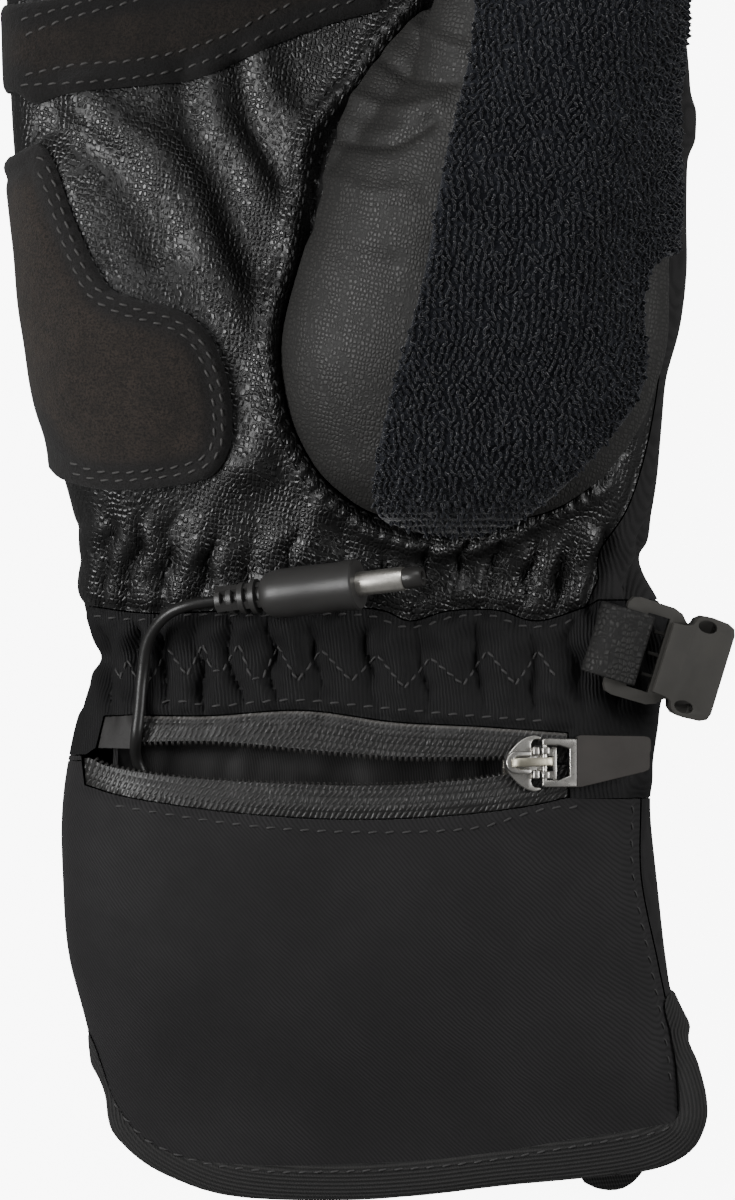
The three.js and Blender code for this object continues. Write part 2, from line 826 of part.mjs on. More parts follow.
const STRAP_SIDE = [
  [-5, -3.4],
  [8.4, -3.2],
  [9.2, -2.4],
  [9.2, 2.4],
  [8.4, 3.2],
  [3, 3.2],
  [-1, 1.8],
  [-5, -0.4],
];
const clip = new THREE.Group();
clip.position.set(CLIP.x, CLIP.y, frontHeight(CLIP.x - STRAP.lead, CLIP.y) + CLIP.above);
clip.rotation.set(0, toRadians(CLIP.fall), toRadians(CLIP.turn), "ZYX");
glove.add(clip);
clip.updateMatrix();

const frame = slab(mirrored(CLIP_FRAME), -CLIP.frameHalf, CLIP.frameHalf, CLIP_BEVEL.frame);
const body = slab(mirrored(CLIP_BODY), -CLIP.bodyHalf, CLIP.bodyHalf, CLIP_BEVEL.body);
const slot = box(
  CLIP_SLOT.from,
  CLIP_SLOT.to,
  -CLIP_SLOT.half,
  CLIP_SLOT.half,
  -CLIP.bodyHalf - GAP,
  CLIP.bodyHalf + GAP,
);
const clipMouth = box(
  CLIP_MOUTH.from,
  CLIP_MOUTH.to,
  -CLIP_MOUTH.half,
  CLIP_MOUTH.half,
  -CLIP_MOUTH.high,
  CLIP_MOUTH.high,
);
const sideWindows = [-1, 1].map((side) =>
  box(
    CLIP_SIDE.from,
    CLIP_SIDE.to,
    Math.min(side * CLIP_SIDE.half, side * CLIP_SIDE.wide),
    Math.max(side * CLIP_SIDE.half, side * CLIP_SIDE.wide),
    -CLIP_MOUTH.high,
    CLIP_MOUTH.high,
  ),
);
const socket = frame
  .add(body)
  .subtract(slot)
  .subtract(clipMouth)
  .subtract(sideWindows[0])
  .subtract(sideWindows[1]);
add("clip_socket", socket, "plastic", clip);

// The strap is a loop round the clip's bar, with its tail on the wrist.
const strapSpace = box(
  CLIP_BAR.from - GAP,
  CLIP_SLOT.from + GAP,
  -CLIP_BAR.half,
  CLIP_BAR.half,
  -CLIP.frameHalf - GAP,
  CLIP.frameHalf + GAP,
);
const strapShape = slab(STRAP_SIDE, -STRAP.half, STRAP.half).rotate([90, 0, 0]);
const strap = strapShape
  .subtract(strapSpace)
  .transform(clip.matrix.elements)
  .subtract(handForm(GAP));
add("clip_strap", strap, "leather");

// Lead and plug
const LEAD = { radius: 1.15, sides: 8, steps: 24 };
const GROMMET = { radius: 2.1, length: 4, sides: 10 };
const PLUG = { x: -29.9, y: 115.8, z: 47.6, turn: 6.8, pitch: 20 };
const leadPoint = (x, y, out) => new THREE.Vector3(x, y, frontHeight(x, y) + out);
const leadRoute = new THREE.CatmullRomCurve3([
  leadPoint(-41, 71, -5.4),
  leadPoint(-41.4, 74.5, -5.4),
  leadPoint(-44.4, 79.5, -5.2),
  leadPoint(-46.5, 84.3, -2.2),
  leadPoint(-46.4, 88.8, 2),
  leadPoint(-45.8, 94, 2.6),
  leadPoint(-45.2, 101, 3.9),
  new THREE.Vector3(-44, 107.8, 41.2),
  new THREE.Vector3(-40.6, 112.6, 44.4),
  new THREE.Vector3(-36, 114.9, 46.6),
  new THREE.Vector3(PLUG.x - GAP, PLUG.y, PLUG.z),
]);
const round = new THREE.Shape();
for (let i = 0; i < LEAD.sides; i++) {
  const turn = (2 * Math.PI * i) / LEAD.sides;
  round[i ? "lineTo" : "moveTo"](LEAD.radius * Math.cos(turn), LEAD.radius * Math.sin(turn));
}
round.closePath();
const leadGeometry = new THREE.ExtrudeGeometry(round, {
  steps: LEAD.steps,
  extrudePath: leadRoute,
  bevelEnabled: false,
});
add("lead", solid(leadGeometry), "rubber");

// A turned piece along X, from pairs of distance and radius
function turned(profile, sides = 10) {
  const points = profile.map(([along, radius]) => new THREE.Vector2(radius, along));
  const geometry = new THREE.LatheGeometry(points, sides);
  geometry.rotateZ(-Math.PI / 2);
  return solid(geometry);
}

const plug = new THREE.Group();
plug.position.set(PLUG.x, PLUG.y, PLUG.z);
plug.rotation.set(0, toRadians(-PLUG.pitch), toRadians(PLUG.turn), "ZYX");
glove.add(plug);
const PLUG_RIBS = { count: 4, pitch: 2.5, wide: 1.4, first: 2.6, growth: 0.25, groove: 0.7 };
const relief = [[0, 0]];
for (let i = 0; i < PLUG_RIBS.count; i++) {
  const from = i * PLUG_RIBS.pitch;
  const radius = PLUG_RIBS.first + i * PLUG_RIBS.growth;
  relief.push([from, radius], [from + PLUG_RIBS.wide, radius]);
  relief.push([from + PLUG_RIBS.wide, radius - PLUG_RIBS.groove]);
  relief.push([from + PLUG_RIBS.pitch, radius - PLUG_RIBS.groove]);
}
const plugBody = [
  ...relief,
  [10, 3.6],
  [11.5, 4.5],
  [14, 4.9],
  [26, 4.8],
  [28.6, 5.2],
  [30.2, 5.1],
  [30.2, 0],
];
const plugBarrel = [
  [30.5, 0],
  [30.5, 2.4],
  [40, 2.4],
  [40, 0],
];
const plugTip = [
  [40.3, 0],
  [40.3, 2.1],
  [43.4, 2.1],
  [43.9, 1.7],
  [43.9, 0.9],
  [41.4, 0.9],
  [41.4, 0],
];
add("plug_body", turned(plugBody), "rubber", plug);
add("plug_barrel", turned(plugBarrel), "nickel", plug);
add("plug_tip", turned(plugTip), "plastic", plug);

const { radius, length, sides } = GROMMET;
const grommet = new THREE.CylinderGeometry(radius, radius, length, sides);
const leadStart = leadRoute.getPoint(0);
grommet.translate(leadStart.x, leadStart.y - length / 2 - 2 * GAP, leadStart.z);
add("lead_grommet", solid(grommet), "rubber");

glove.position.set(-BASE.x, -BASE.y, 0);
export default glove;
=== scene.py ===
# A heated winter gauntlet glove for the right hand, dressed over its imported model: leather, softshell,
# suede and terry panels with their seams, the battery pocket's zip, the strap clip, and the plug on its lead.
import math

import bpy
import numpy as np
from mathutils import Euler, Matrix, Vector
from mathutils.bvhtree import BVHTree


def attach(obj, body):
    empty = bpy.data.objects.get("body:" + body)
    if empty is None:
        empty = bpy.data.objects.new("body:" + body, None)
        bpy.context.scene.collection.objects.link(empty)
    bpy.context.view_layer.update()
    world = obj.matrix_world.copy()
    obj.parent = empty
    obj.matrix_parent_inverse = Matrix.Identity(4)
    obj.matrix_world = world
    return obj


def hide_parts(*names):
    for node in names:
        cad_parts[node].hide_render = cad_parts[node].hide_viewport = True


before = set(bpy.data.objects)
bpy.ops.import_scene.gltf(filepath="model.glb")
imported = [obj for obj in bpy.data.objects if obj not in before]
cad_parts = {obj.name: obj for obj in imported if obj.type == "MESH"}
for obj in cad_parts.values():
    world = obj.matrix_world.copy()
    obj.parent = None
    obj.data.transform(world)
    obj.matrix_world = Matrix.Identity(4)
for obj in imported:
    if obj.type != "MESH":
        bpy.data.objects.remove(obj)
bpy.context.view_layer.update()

bpy.ops.object.select_all(action="DESELECT")

# Everything is drawn in the part's own millimetres, with this point at the frame's origin.
BASE = np.array((-0.1, 163.2, 0.0))
MM = 0.001
# Cloth: the gap at a seam, its wall, how far the back is pressed flat, and where the seams run
GAP = 0.3
WALL = 2.2
FLAT = 1.5
SIDE_LEVEL = 20
WRIST_SEAM = 104
FINGER_SEAM = 256
# Past every edge: to the sides, over and under the glove, before its mouth and past its fingers
FAR = 90
HIGH = 120
UNDER = -10
BEFORE = -20
PAST = 345
# How much wider than its outline a piece is taken from a skin before it is cut
MARGIN = 2.5
# The binding: how far it stands out and is rounded, and how far the cloth is tucked into it
BINDING_OVER = 0.8
BINDING_ROUND = 1.1
TUCKED = 0.5
# Patches: thickness, the width of a rounded edge, and where their two faces start over the skin
PATCH_THICK = {"suede": 1.3, "heel": 2.4, "terry": 1}
EDGE_WIDTH = 2.2
TERRY_EDGE_WIDTH = 1.8
PATCH_FOOT = 0.15
PATCH_UNDER = 0.12
TAPE_LEVELS = (-0.5, -1.9)
# Each form's rings along it and points round it, and the size of the voxels that blend it
RINGS = {"hand": (130, 220), "finger": (24, 90), "thumb": (90, 120), "gusset": (30, 60)}
VOXEL = {"hand": 0.85, "thumb": 0.8}

# The hand and gauntlet: place, left and right edge, top, and how square its upper corners are
HAND = [
    (-9, -54, 79, 38, 2.6), (14, -54.2, 75, 41, 2.6), (30, -56.8, 64.6, 43.6, 2.6),
    (36, -58.6, 62, 44.5, 2.6), (42, -60.4, 60.8, 45.4, 2.6), (62, -62, 58.2, 46.5, 2.5),
    (80, -61.4, 57.6, 45.5, 2.5), (93, -58.6, 59.2, 44.1, 2.5), (104, -53.6, 61.4, 42.8, 2.5),
    (114, -57.2, 60.6, 43.8, 2.5), (121, -57.6, 55.2, 45.2, 2.5), (128, -58.4, 56.6, 47.4, 2.6),
    (142, -61.6, 58.8, 50.5, 2.9), (160, -66.2, 60.2, 53, 3.1), (178, -68.2, 63.9, 53, 3.2),
    (200, -70.8, 64.5, 51, 3.2), (222, -72.6, 64.8, 46, 3.3), (242, -73.2, 62.5, 40.5, 3.5),
]
HAND_END = {"past": 6.6, "inset": 6, "rings": 8}
UNDERSIDE_SQUARE = 4
# The hollow of the palm and the pads on it: middle, rise, and reach across and along
PALM_SHAPES = [(-16, 196, -5, 24, 36), (-50, 168, 2.5, 18, 30), (2, 46, 1.5, 44, 36)]
# The thumb: place, left and right edge, lowest and highest point
THUMB = [
    (129.8, 12, 21, 46, 51), (132, 4, 31, 41, 56.5), (138, -6, 43, 35, 63), (148, -14, 53.4, 30, 68.5),
    (161, -17, 58.4, 27, 73), (178, -15, 60, 25, 76), (194, -10, 60.8, 26.5, 78), (206, -4, 60.4, 31, 78.5),
    (216, 5.5, 60.4, 37, 79), (236, 13.7, 62, 44.5, 78), (258, 18.2, 61.5, 43.5, 74),
    (273, 22.5, 58, 44, 70), (281, 29, 52, 47.5, 65.5), (284, 35, 46, 52, 61),
]
THUMB_SQUARE = 2.15
GUSSET = [
    (194, -8, 20, 40, 60), (204, -8, 22, 40, 59), (214, -5, 26, 38, 57), (224, 2, 30, 37, 54),
    (234, 11, 34, 36, 50),
]
# The fingers: name, middle at the base and the tip, where the tip ends, and half sizes
FINGERS = [
    ("little", -57, -61, 299, 14.4, 16), ("ring", -24.7, -26.5, 321, 16.4, 17.5),
    ("middle", 9.3, 10, 330, 16.6, 17.8), ("index", 43.3, 46.5, 317, 16.4, 17.5),
]
FINGER = {"start": 234, "low": 19.5, "raised": 26, "tip": 15, "thins": 0.14, "square": 2.3}

# Seams and outlines, seen from above
LEATHER_EDGE = [
    (-56.5, 114.8), (-45, 113.4), (-33.5, 113.6), (-16, 114.6), (1.5, 114.2), (8.5, 111.8), (16.1, 113.8),
    (25.9, 114), (34, 111.8), (43.9, 114.6),
]
LEATHER_SIDE = [
    (46.4, 120.2), (46.8, 126), (52.7, 135.5), (57.2, 152), (59.9, 174), (60.8, 200), (60.8, 262),
]
TAPE_TOP = [(-46.9, 92.9), (-31.9, 92.8), (-13, 93.9), (5.3, 91.6), (22, 90.7), (40.2, 89.4)]
TEETH_ABOVE = [(-46.9, 87.4), (-30, 87.5), (-9, 85.7), (8, 84.5), (31.5, 84.6)]
TEETH_BELOW = [(-55.8, 84.3), (-50.7, 82.4), (-33, 80.2), (-2.3, 79), (18, 79.9), (28, 81.2)]
SHUT = {"above": [(32.5, 83.35), (40.2, 83.35)], "below": [(32.5, 83.05), (40.2, 83.05)]}
TAPE_BOTTOM = [
    (-56.9, 78.8), (-48, 76.4), (-30, 73.8), (-12.5, 72.4), (3, 72.2), (18, 73), (31, 74.5), (40.2, 76.4),
]
ZIP_END = [(-54.4, 86.1), (-46.9, 86), (-46.9, 93), (-53, 92.6)]
GAUNTLET_SEAM = [(55.2, 76), (55.2, 60), (58.6, 43), (61.6, 27.6), (62.6, 12)]
HEM = [
    (-60.5, 25), (-55.8, 21.5), (-53.2, 16.5), (-52.4, 11), (-50.8, 7.6), (-45.2, 2.7), (-38.4, -0.7),
    (-30.3, -3.3), (-20, -4.4), (-3.5, -4.5), (11.7, -3.4), (27.1, -1.6), (42.5, -0.2), (57.2, 1.4),
    (65, 4.9), (68.2, 10.4), (68.4, 15.8), (66.8, 22.5), (65, 28.2), (70, 33),
]
# The back's hem shows a little below the front's.
HEM_BEHIND = [(43, 6), (43.5, -2), (45.5, -4), (48, -4.9), (51, -5), (54, -3.8), (57, 0), (57, 6)]
BINDING_TOP = [
    (-60, 33), (-56, 28), (-53.6, 22), (-51.2, 15.6), (-47, 9.4), (-40.8, 5.4), (-32.9, 3.3), (-18, 2.6),
    (-3.5, 3), (11.7, 3.8), (27.1, 5.6), (42.5, 8.2), (57, 10.3), (62.4, 12.2), (62.4, 20), (61.2, 28),
    (60.4, 36), (70, 40),
]
HEEL_PATCH = [
    (-75, 205.4), (-71.5, 205.4), (-66, 207.6), (-62.7, 203.8), (-58.1, 191.2), (-52.1, 179.4),
    (-46.9, 176.4), (-37.7, 173.8), (-31.5, 169), (-27.5, 159), (-26.9, 148.5), (-29.7, 141.8), (-36, 139),
    (-50.5, 137.8), (-60.3, 139.6), (-64.6, 142.8), (-68.5, 149), (-75, 158),
]
BAND_BELOW = [
    (-75, 218.5), (-70.9, 218.2), (-66.9, 215.4), (-60, 217.2), (-42.9, 219), (-32.7, 220.6), (-20, 226.4),
    (-7.1, 231.4), (4, 234.4),
]
BAND_ABOVE = [(6.5, 243), (-12, 243.4), (-40, 240.6), (-66, 236.6), (-75, 236.4)]
TERRY = [
    (21.1, 236), (20.1, 224), (15.1, 202.6), (11.6, 183), (9.3, 173.2), (4.7, 157.4), (1.5, 142.6),
    (1.5, 134), (4, 131),
]
TERRY_REST = [
    (20, 126), (34.7, 134.6), (47.5, 147.2), (55.1, 159.4), (57.9, 183), (FAR, 195), (FAR, 270), (44, 279),
    (31, 272), (24, 258),
]
THUMB_GROOVE = [
    (16, 238), (11.1, 233.2), (4.1, 225.2), (-0.3, 217.6), (-4.7, 213.2), (-9.3, 204.8), (-11.9, 186.6),
    (-15.5, 174.8), (-16.3, 163.6), (-14.7, 154.4), (-10.9, 144.8), (-7.7, 140.4), (-3.5, 137), (1.5, 133),
    (11.7, 130.4), (17.9, 130.4), (25.1, 132), (33.3, 135.6), (39.9, 138.6), (44.9, 142),
]
POCKET = [(-42, 13), (42, 13), (46, 40), (46, 73), (42, 89), (-50, 89), (-50, 62), (-46, 34)]
POCKET_DEPTH = 8
LINING = 1.2

# Rows of stitches, as the middle line of each
STITCH_ROWS = {
    "welt": [
        [(4.5, 232), (-3.1, 223.6), (-9.9, 215.2), (-12.7, 208), (-13.7, 202.6), (-17.9, 182.2),
         (-20.9, 175.8), (-21.9, 167.2), (-20.5, 157.6), (-17.9, 149), (-11.5, 137.8), (-3.5, 131.6),
         (12.5, 127), (26.5, 128), (38.5, 133.6)],
        [(6.9, 231.2), (-0.3, 222.4), (-6.3, 214.4), (-9.9, 208), (-11.7, 202), (-15.5, 182),
         (-18.3, 175.4), (-19.3, 167), (-17.9, 157.6), (-15.1, 149.6), (-9.1, 139.6), (-1.9, 134),
         (12.5, 129), (25.9, 130.2), (37.7, 135.8)],
    ],
    "leather_lap": [
        [(-55.5, 112.8), (-45.5, 112), (-36.5, 113), (-21.5, 112.9), (-7.5, 113.2), (1.5, 112.6),
         (6.3, 110.7), (11.3, 110.8), (16.1, 112.4), (22.1, 113), (25.9, 112.6), (30.9, 110.8),
         (37.3, 110.8), (41.5, 112.2)],
    ],
    "pocket": [
        [(-50.7, 74.8), (-37.9, 72.8), (-27.7, 71.4), (-15.1, 70.2), (2.9, 69.6), (21.1, 70.4), (30.9, 73),
         (37, 74.4), (42, 74.6), (43.4, 77)],
        [(-41.5, 95.4), (-37.9, 95.8), (-30.3, 94.8), (-15.1, 96), (1.3, 94.6), (16.5, 93.2), (37.3, 91.6)],
        [(53.3, 74.8), (53.3, 60.8), (56.9, 42.8), (59.9, 27.6), (61.1, 17.4)],
    ],
    "binding": [
        [(-51, 14.8), (-49.8, 12.6), (-45.2, 7.8), (-40.1, 5), (-32.3, 2.7), (-25.1, 1.8), (-17.5, 1.2),
         (-4.9, 1.4), (11.7, 2.2), (27.1, 4), (36.5, 5.6), (50.7, 7.8), (57.7, 8.9), (61.9, 10.5)],
    ],
    "heel": [
        [(-66.4, 204.8), (-65.2, 204.2), (-63.9, 202.4), (-61.9, 196.8), (-59.9, 190.4), (-57.1, 183.4),
         (-53.9, 178), (-48.3, 174.6), (-39.1, 172), (-34.5, 169), (-31.7, 165), (-29.5, 158.6),
         (-28.9, 151.4), (-29.3, 146.4), (-31.3, 143.4), (-34.3, 141.8), (-40.3, 140.6), (-50.3, 139.8),
         (-56.5, 140.6), (-61.1, 142.4)],
        [(-65.9, 201.8), (-65.2, 200.4), (-63.5, 196), (-61.5, 189.6), (-58.7, 182.6), (-55.5, 176.8),
         (-49.5, 173.2), (-39.9, 170.4), (-35.7, 167.8), (-33.3, 164.2), (-31.1, 158.2), (-30.5, 151.4),
         (-30.9, 147.2), (-32.3, 144.8), (-34.9, 143.4), (-40.3, 142.2), (-49.9, 141.4), (-55.9, 142.2),
         (-59.9, 143.8)],
    ],
    "band": [
        [(-69.9, 219.4), (-55.5, 219.6), (-40.9, 221.4), (-30.1, 224.6), (-19.9, 229.4), (-9.7, 233.8),
         (-1, 236.6)],
        [(-68.9, 221.4), (-58.1, 223.2), (-47.9, 223.8), (-37.7, 225.8), (-27.5, 229.4), (-19.9, 233.4),
         (-13.3, 236.2)],
        [(-68.9, 229.4), (-60.7, 232.4), (-49.1, 235.4), (-40, 238)],
        [(-69.9, 232.6), (-58.7, 235.4), (-50, 238)],
    ],
}
ZIGZAG = [
    (-51.5, 105), (-49.9, 100), (-48.3, 104), (-45.5, 98), (-43.1, 100.8), (-40.1, 106.4), (-36.3, 100.8),
    (-32.9, 107.2), (-31.2, 101.8), (-29.1, 101.8), (-25.7, 107.2), (-23.3, 100.2), (-21.1, 100.4),
    (-17.9, 107), (-14.1, 99.8), (-9.1, 106), (-3.3, 99.8), (2.1, 105), (7.3, 98.4), (12.7, 104.4),
    (19.1, 99), (24.1, 105.8), (29.5, 99), (34.3, 105.8), (37.7, 100.4),
]
LEATHER_ZIGZAG = [
    (-52.5, 124), (-49.9, 117.6), (-46.5, 124), (-43.1, 117.6), (-39.5, 124.8), (-35.5, 118),
    (-31.1, 124.8), (-26.5, 117.6), (-22, 124), (-18, 117.8), (-13.6, 124.2), (-9, 118), (-4.5, 124),
    (0, 118), (4.5, 124), (8.5, 118.4), (12.5, 124.8), (15.5, 118), (18.9, 125.6), (22.5, 118.4),
    (26.1, 125.6), (29.7, 118), (33.1, 124.8), (36.5, 118), (39.7, 124), (42.5, 118.8),
]
# The lead's route, and the frames that the slider, clip and plug are drawn in: origin and turn
LEAD_ROUTE = [
    (-41, 71, 36.89), (-41.4, 74.5, 36.45), (-44.4, 79.5, 35.14), (-46.5, 84.3, 36.47),
    (-46.4, 88.8, 39.94), (-45.8, 94, 39.81), (-45.2, 101, 39.27), (-44, 107.8, 41.2), (-40.6, 112.6, 44.4),
    (-36, 114.9, 46.6), (-30.2, 115.8, 47.6),
]
LEAD_RADIUS = 1.15
LEAD_BUSH = (-41, 68.4, 36.89)
ZIP_FRAME = Matrix.Translation((32, 83.2, 42.558)) @ Euler((-0.10581, 0.2106, 0), "ZYX").to_matrix().to_4x4()
PULL_FRAME = ZIP_FRAME @ Matrix.Translation((3, 0, 2.4))
CLIP_FRAME = Matrix.Translation((46.7, 108.4, 41.566)) @ Euler((0, 0.10472, -0.29671)).to_matrix().to_4x4()
PLUG_FRAME = Matrix.Translation((-29.9, 115.8, 47.6)) @ Euler((0, -0.34907, 0.11868)).to_matrix().to_4x4()


# Lines and fields

def smooth_line(points, step=1.5):
    """A smooth line through the points, with one point to each step."""
    p = np.array(points, float)
    p = np.vstack([2 * p[0] - p[1], p, 2 * p[-1] - p[-2]])
    out = []
    for a, b, c, d in zip(p[:-3], p[1:-2], p[2:-1], p[3:]):
        count = max(1, round(np.linalg.norm(c - b) / step))
        t = np.arange(count)[:, None] / count
        out.append(0.5 * (2 * b + (c - a) * t + (2 * a - 5 * b + 4 * c - d) * t ** 2
                          + (3 * b - a - 3 * c + d) * t ** 3))
    return np.vstack(out + [p[-2][None]])


def nearest(points, line):
    """How far each point is from a line seen from above, and how far along it"""
    best, along, start = np.full(len(points), 1e9), np.zeros(len(points)), 0
    for a, b in zip(line[:-1], line[1:]):
        d = b - a
        t = np.clip(((points - a) @ d) / max(d @ d, 1e-9), 0, 1)
        square = ((points - a - t[:, None] * d) ** 2).sum(1)
        along = np.where(square < best, start + t * math.sqrt(d @ d), along)
        best = np.minimum(best, square)
        start += math.sqrt(d @ d)
    return np.sqrt(best), along


def away(points, line):
    return nearest(points, line)[0]


def inside(points, outline):
    hit = np.zeros(len(points), bool)
    x, y = points[:, 0], points[:, 1]
    for (ax, ay), (bx, by) in zip(outline, np.roll(outline, -1, axis=0)):
        crosses = (ay > y) != (by > y)
        if by != ay:
            hit ^= crosses & (x < (bx - ax) * (y - ay) / (by - ay) + ax)
    return hit


def depth_inside(points, outline):
    """The distance to an outline, negative outside it."""
    closed = np.vstack([outline, outline[:1]])
    return away(points, closed) * np.where(inside(points, outline), 1, -1)


def bump(distance, height, width, middle=0):
    return height * np.exp(-(((distance - middle) / width) ** 2))


def eased(value, low, high):
    t = np.clip((value - low) / (high - low), 0, 1)
    return t * t * (3 - 2 * t)


def rounded_rise(depth, height, width=EDGE_WIDTH):
    """A height that curves down to nothing at an outline"""
    return height * np.sqrt(np.clip(1 - (1 - np.clip(depth / width, 0, 1)) ** 2, 0, 1))


def through(rows, column, y):
    """One column of a table of sections, read smoothly at any place along it."""
    table = np.array(rows, float)
    xs, ys = table[:, 0], table[:, column]
    step = np.diff(xs)
    rise = np.diff(ys) / step
    slope = np.concatenate([rise[:1], (rise[:-1] * step[1:] + rise[1:] * step[:-1]) / (step[1:] + step[:-1]),
                            rise[-1:]])
    i = np.clip(np.searchsorted(xs, y) - 1, 0, len(xs) - 2)
    h = xs[i + 1] - xs[i]
    t = (y - xs[i]) / h
    return ((1 + 2 * t) * (1 - t) ** 2 * ys[i] + t * (1 - t) ** 2 * h * slope[i]
            + t * t * (3 - 2 * t) * ys[i + 1] + t * t * (t - 1) * h * slope[i + 1])


def section(rows, y):
    """All four numbers of a table of sections at any place along it"""
    return [through(rows, column, y) for column in (1, 2, 3, 4)]


def wander(points, size, seed):
    """Soft noise from a handful of waves in fixed directions, between about -1 and 1"""
    rng = np.random.default_rng(seed)
    total = np.zeros(len(points))
    for k in range(7):
        turn = rng.uniform(0, 2 * math.pi, 2)
        wave = np.array((math.cos(turn[0]), math.sin(turn[0]))) * 2 * math.pi / (size * rng.uniform(0.7, 1.5))
        total += np.sin(points[:, :2] @ wave + turn[1] + points[:, 2] / size * rng.uniform(-2, 2))
    return total / 3.2


# Meshes

def new_mesh(name, points, quads, triangles=()):
    mesh = bpy.data.meshes.new(name)
    quads = np.asarray(quads, np.int32).reshape(-1, 4)
    triangles = np.asarray(triangles, np.int32).reshape(-1, 3)
    mesh.vertices.add(len(points))
    mesh.vertices.foreach_set("co", np.asarray(points, np.float32).ravel())
    mesh.loops.add(quads.size + triangles.size)
    mesh.loops.foreach_set("vertex_index", np.concatenate([quads.ravel(), triangles.ravel()]))
    mesh.polygons.add(len(quads) + len(triangles))
    mesh.polygons.foreach_set("loop_start", np.concatenate([
        np.arange(len(quads)) * 4, quads.size + np.arange(len(triangles)) * 3]).astype(np.int32))
    mesh.update(calc_edges=True)
    mesh.validate()
    obj = bpy.data.objects.new(name, mesh)
    bpy.context.scene.collection.objects.link(obj)
    return obj


def read_mesh(obj):
    mesh = obj.data
    points = np.empty(len(mesh.vertices) * 3, np.float32)
    mesh.vertices.foreach_get("co", points)
    normals = np.empty(len(mesh.vertices) * 3, np.float32)
    mesh.vertex_normals.foreach_get("vector", normals)
    corners = np.empty(len(mesh.loops), np.int32)
    mesh.loops.foreach_get("vertex_index", corners)
    return points.reshape(-1, 3).astype(float), normals.reshape(-1, 3).astype(float), corners


def ring(row, count):
    """A superellipse whose lower half has its own squareness, in evenly spaced points"""
    y, left, right, low, top, square, below = row
    turn = np.linspace(0, 2 * math.pi, 1441)
    c, s = np.cos(turn), np.sin(turn)
    power = np.where(s >= 0, 2 / square, 2 / below)
    x = (left + right) / 2 + (right - left) / 2 * np.sign(c) * np.abs(c) ** power
    z = (low + top) / 2 + (top - low) / 2 * np.sign(s) * np.abs(s) ** power
    along = np.concatenate([[0], np.cumsum(np.hypot(np.diff(x), np.diff(z)))])
    at = np.arange(count) / count * along[-1]
    return np.stack([np.interp(at, along, x), np.full(count, y), np.interp(at, along, z)], 1)


def loft(rings):
    """A closed skin over rings that go along +Y: points, quads and the triangles of both ends"""
    count = len(rings[0])
    points = np.vstack(rings + [r.mean(0)[None] for r in (rings[0], rings[-1])])
    a = (np.arange(len(rings) - 1)[:, None] * count + np.arange(count)).ravel()
    b = (np.arange(len(rings) - 1)[:, None] * count + (np.arange(count) + 1) % count).ravel()
    quads = np.stack([a, a + count, b + count, b], 1)
    i, j = np.arange(count), (np.arange(count) + 1) % count
    last = (len(rings) - 1) * count
    first_middle, last_middle = len(rings) * count, len(rings) * count + 1
    ends = np.vstack([np.stack([np.full(count, first_middle), i, j], 1),
                      np.stack([np.full(count, last_middle), last + j, last + i], 1)])
    return points, quads, ends


def palm_rise(x, y):
    return sum(rise * np.exp(-((x - mx) / across) ** 2 - ((y - my) / along) ** 2)
               for mx, my, rise, across, along in PALM_SHAPES)


def hand_rings():
    """Rings along the hand, drawn in at its far end, with the palm's hollow and pads"""
    steps, count = RINGS["hand"]
    end = HAND[-1][0]
    rows = []
    for y in np.linspace(HAND[0][0], end, steps):
        left, right, top, square = section(HAND, y)
        rows.append((y, left, right, -FLAT, top, square, UNDERSIDE_SQUARE, 0))
    for turn in np.linspace(0, math.pi / 2, HAND_END["rings"])[1:]:
        inset = HAND_END["inset"] * (1 - math.cos(turn))
        y = end + HAND_END["past"] * math.sin(turn)
        _, left, right, top, square = HAND[-1]
        rows.append((y, left + inset, right - inset, inset - FLAT, top - inset, square, UNDERSIDE_SQUARE,
                     inset))
    rings = []
    for *row, inset in rows:
        points = ring(row, count)
        level = (row[4] + inset - FLAT) / 2
        points[:, 2] += eased(points[:, 2], level, level + 14) * palm_rise(points[:, 0], points[:, 1])
        rings.append(points)
    return rings


def finger_rings(finger):
    """Rings along one finger, which thins and rises towards its round tip"""
    _, base, tip, end, wide, thick = finger
    steps, count = RINGS["finger"]
    straight = end - FINGER["tip"]
    stations = [(y, 1) for y in np.linspace(FINGER["start"], straight, steps)]
    stations += [(straight + FINGER["tip"] * math.sin(t), math.cos(t))
                 for t in np.linspace(0, math.pi / 2, 12)[1:-1]]
    rings = []
    for y, size in stations:
        along = (y - FINGER["start"]) / (end - FINGER["start"])
        x = base + (tip - base) * along
        z = FINGER["low"] + (FINGER["raised"] - FINGER["low"]) * along ** 1.5
        thinned = (1 - FINGER["thins"] * along) * size
        w, h = wide * thinned, thick * thinned
        rings.append(ring((y, x - w, x + w, z - h, z + h, FINGER["square"], FINGER["square"]), count))
    return rings


def tube_rings(rows, square, form):
    steps, count = RINGS[form]
    return [ring((y, *section(rows, y), square, square), count)
            for y in np.linspace(rows[0][0], rows[-1][0], steps)]


def face_edges(quads):
    """Where each side of each face starts and ends"""
    return quads.T.ravel(), np.roll(quads, -1, axis=1).T.ravel()


def relaxed(points, quads, rounds):
    """Moves each point halfway to the middle of its neighbours, a number of times."""
    a, b = face_edges(quads)
    i, j = np.concatenate([a, b]), np.concatenate([b, a])
    degree = np.bincount(i, minlength=len(points))[:, None]
    for _ in range(rounds):
        total = np.stack([np.bincount(i, weights=points[j, k], minlength=len(points)) for k in range(3)], 1)
        points = points + 0.5 * (total / degree - points)
    return points


def apply_all(obj):
    bpy.context.view_layer.objects.active = obj
    for modifier in list(obj.modifiers):
        bpy.ops.object.modifier_apply(modifier=modifier.name)


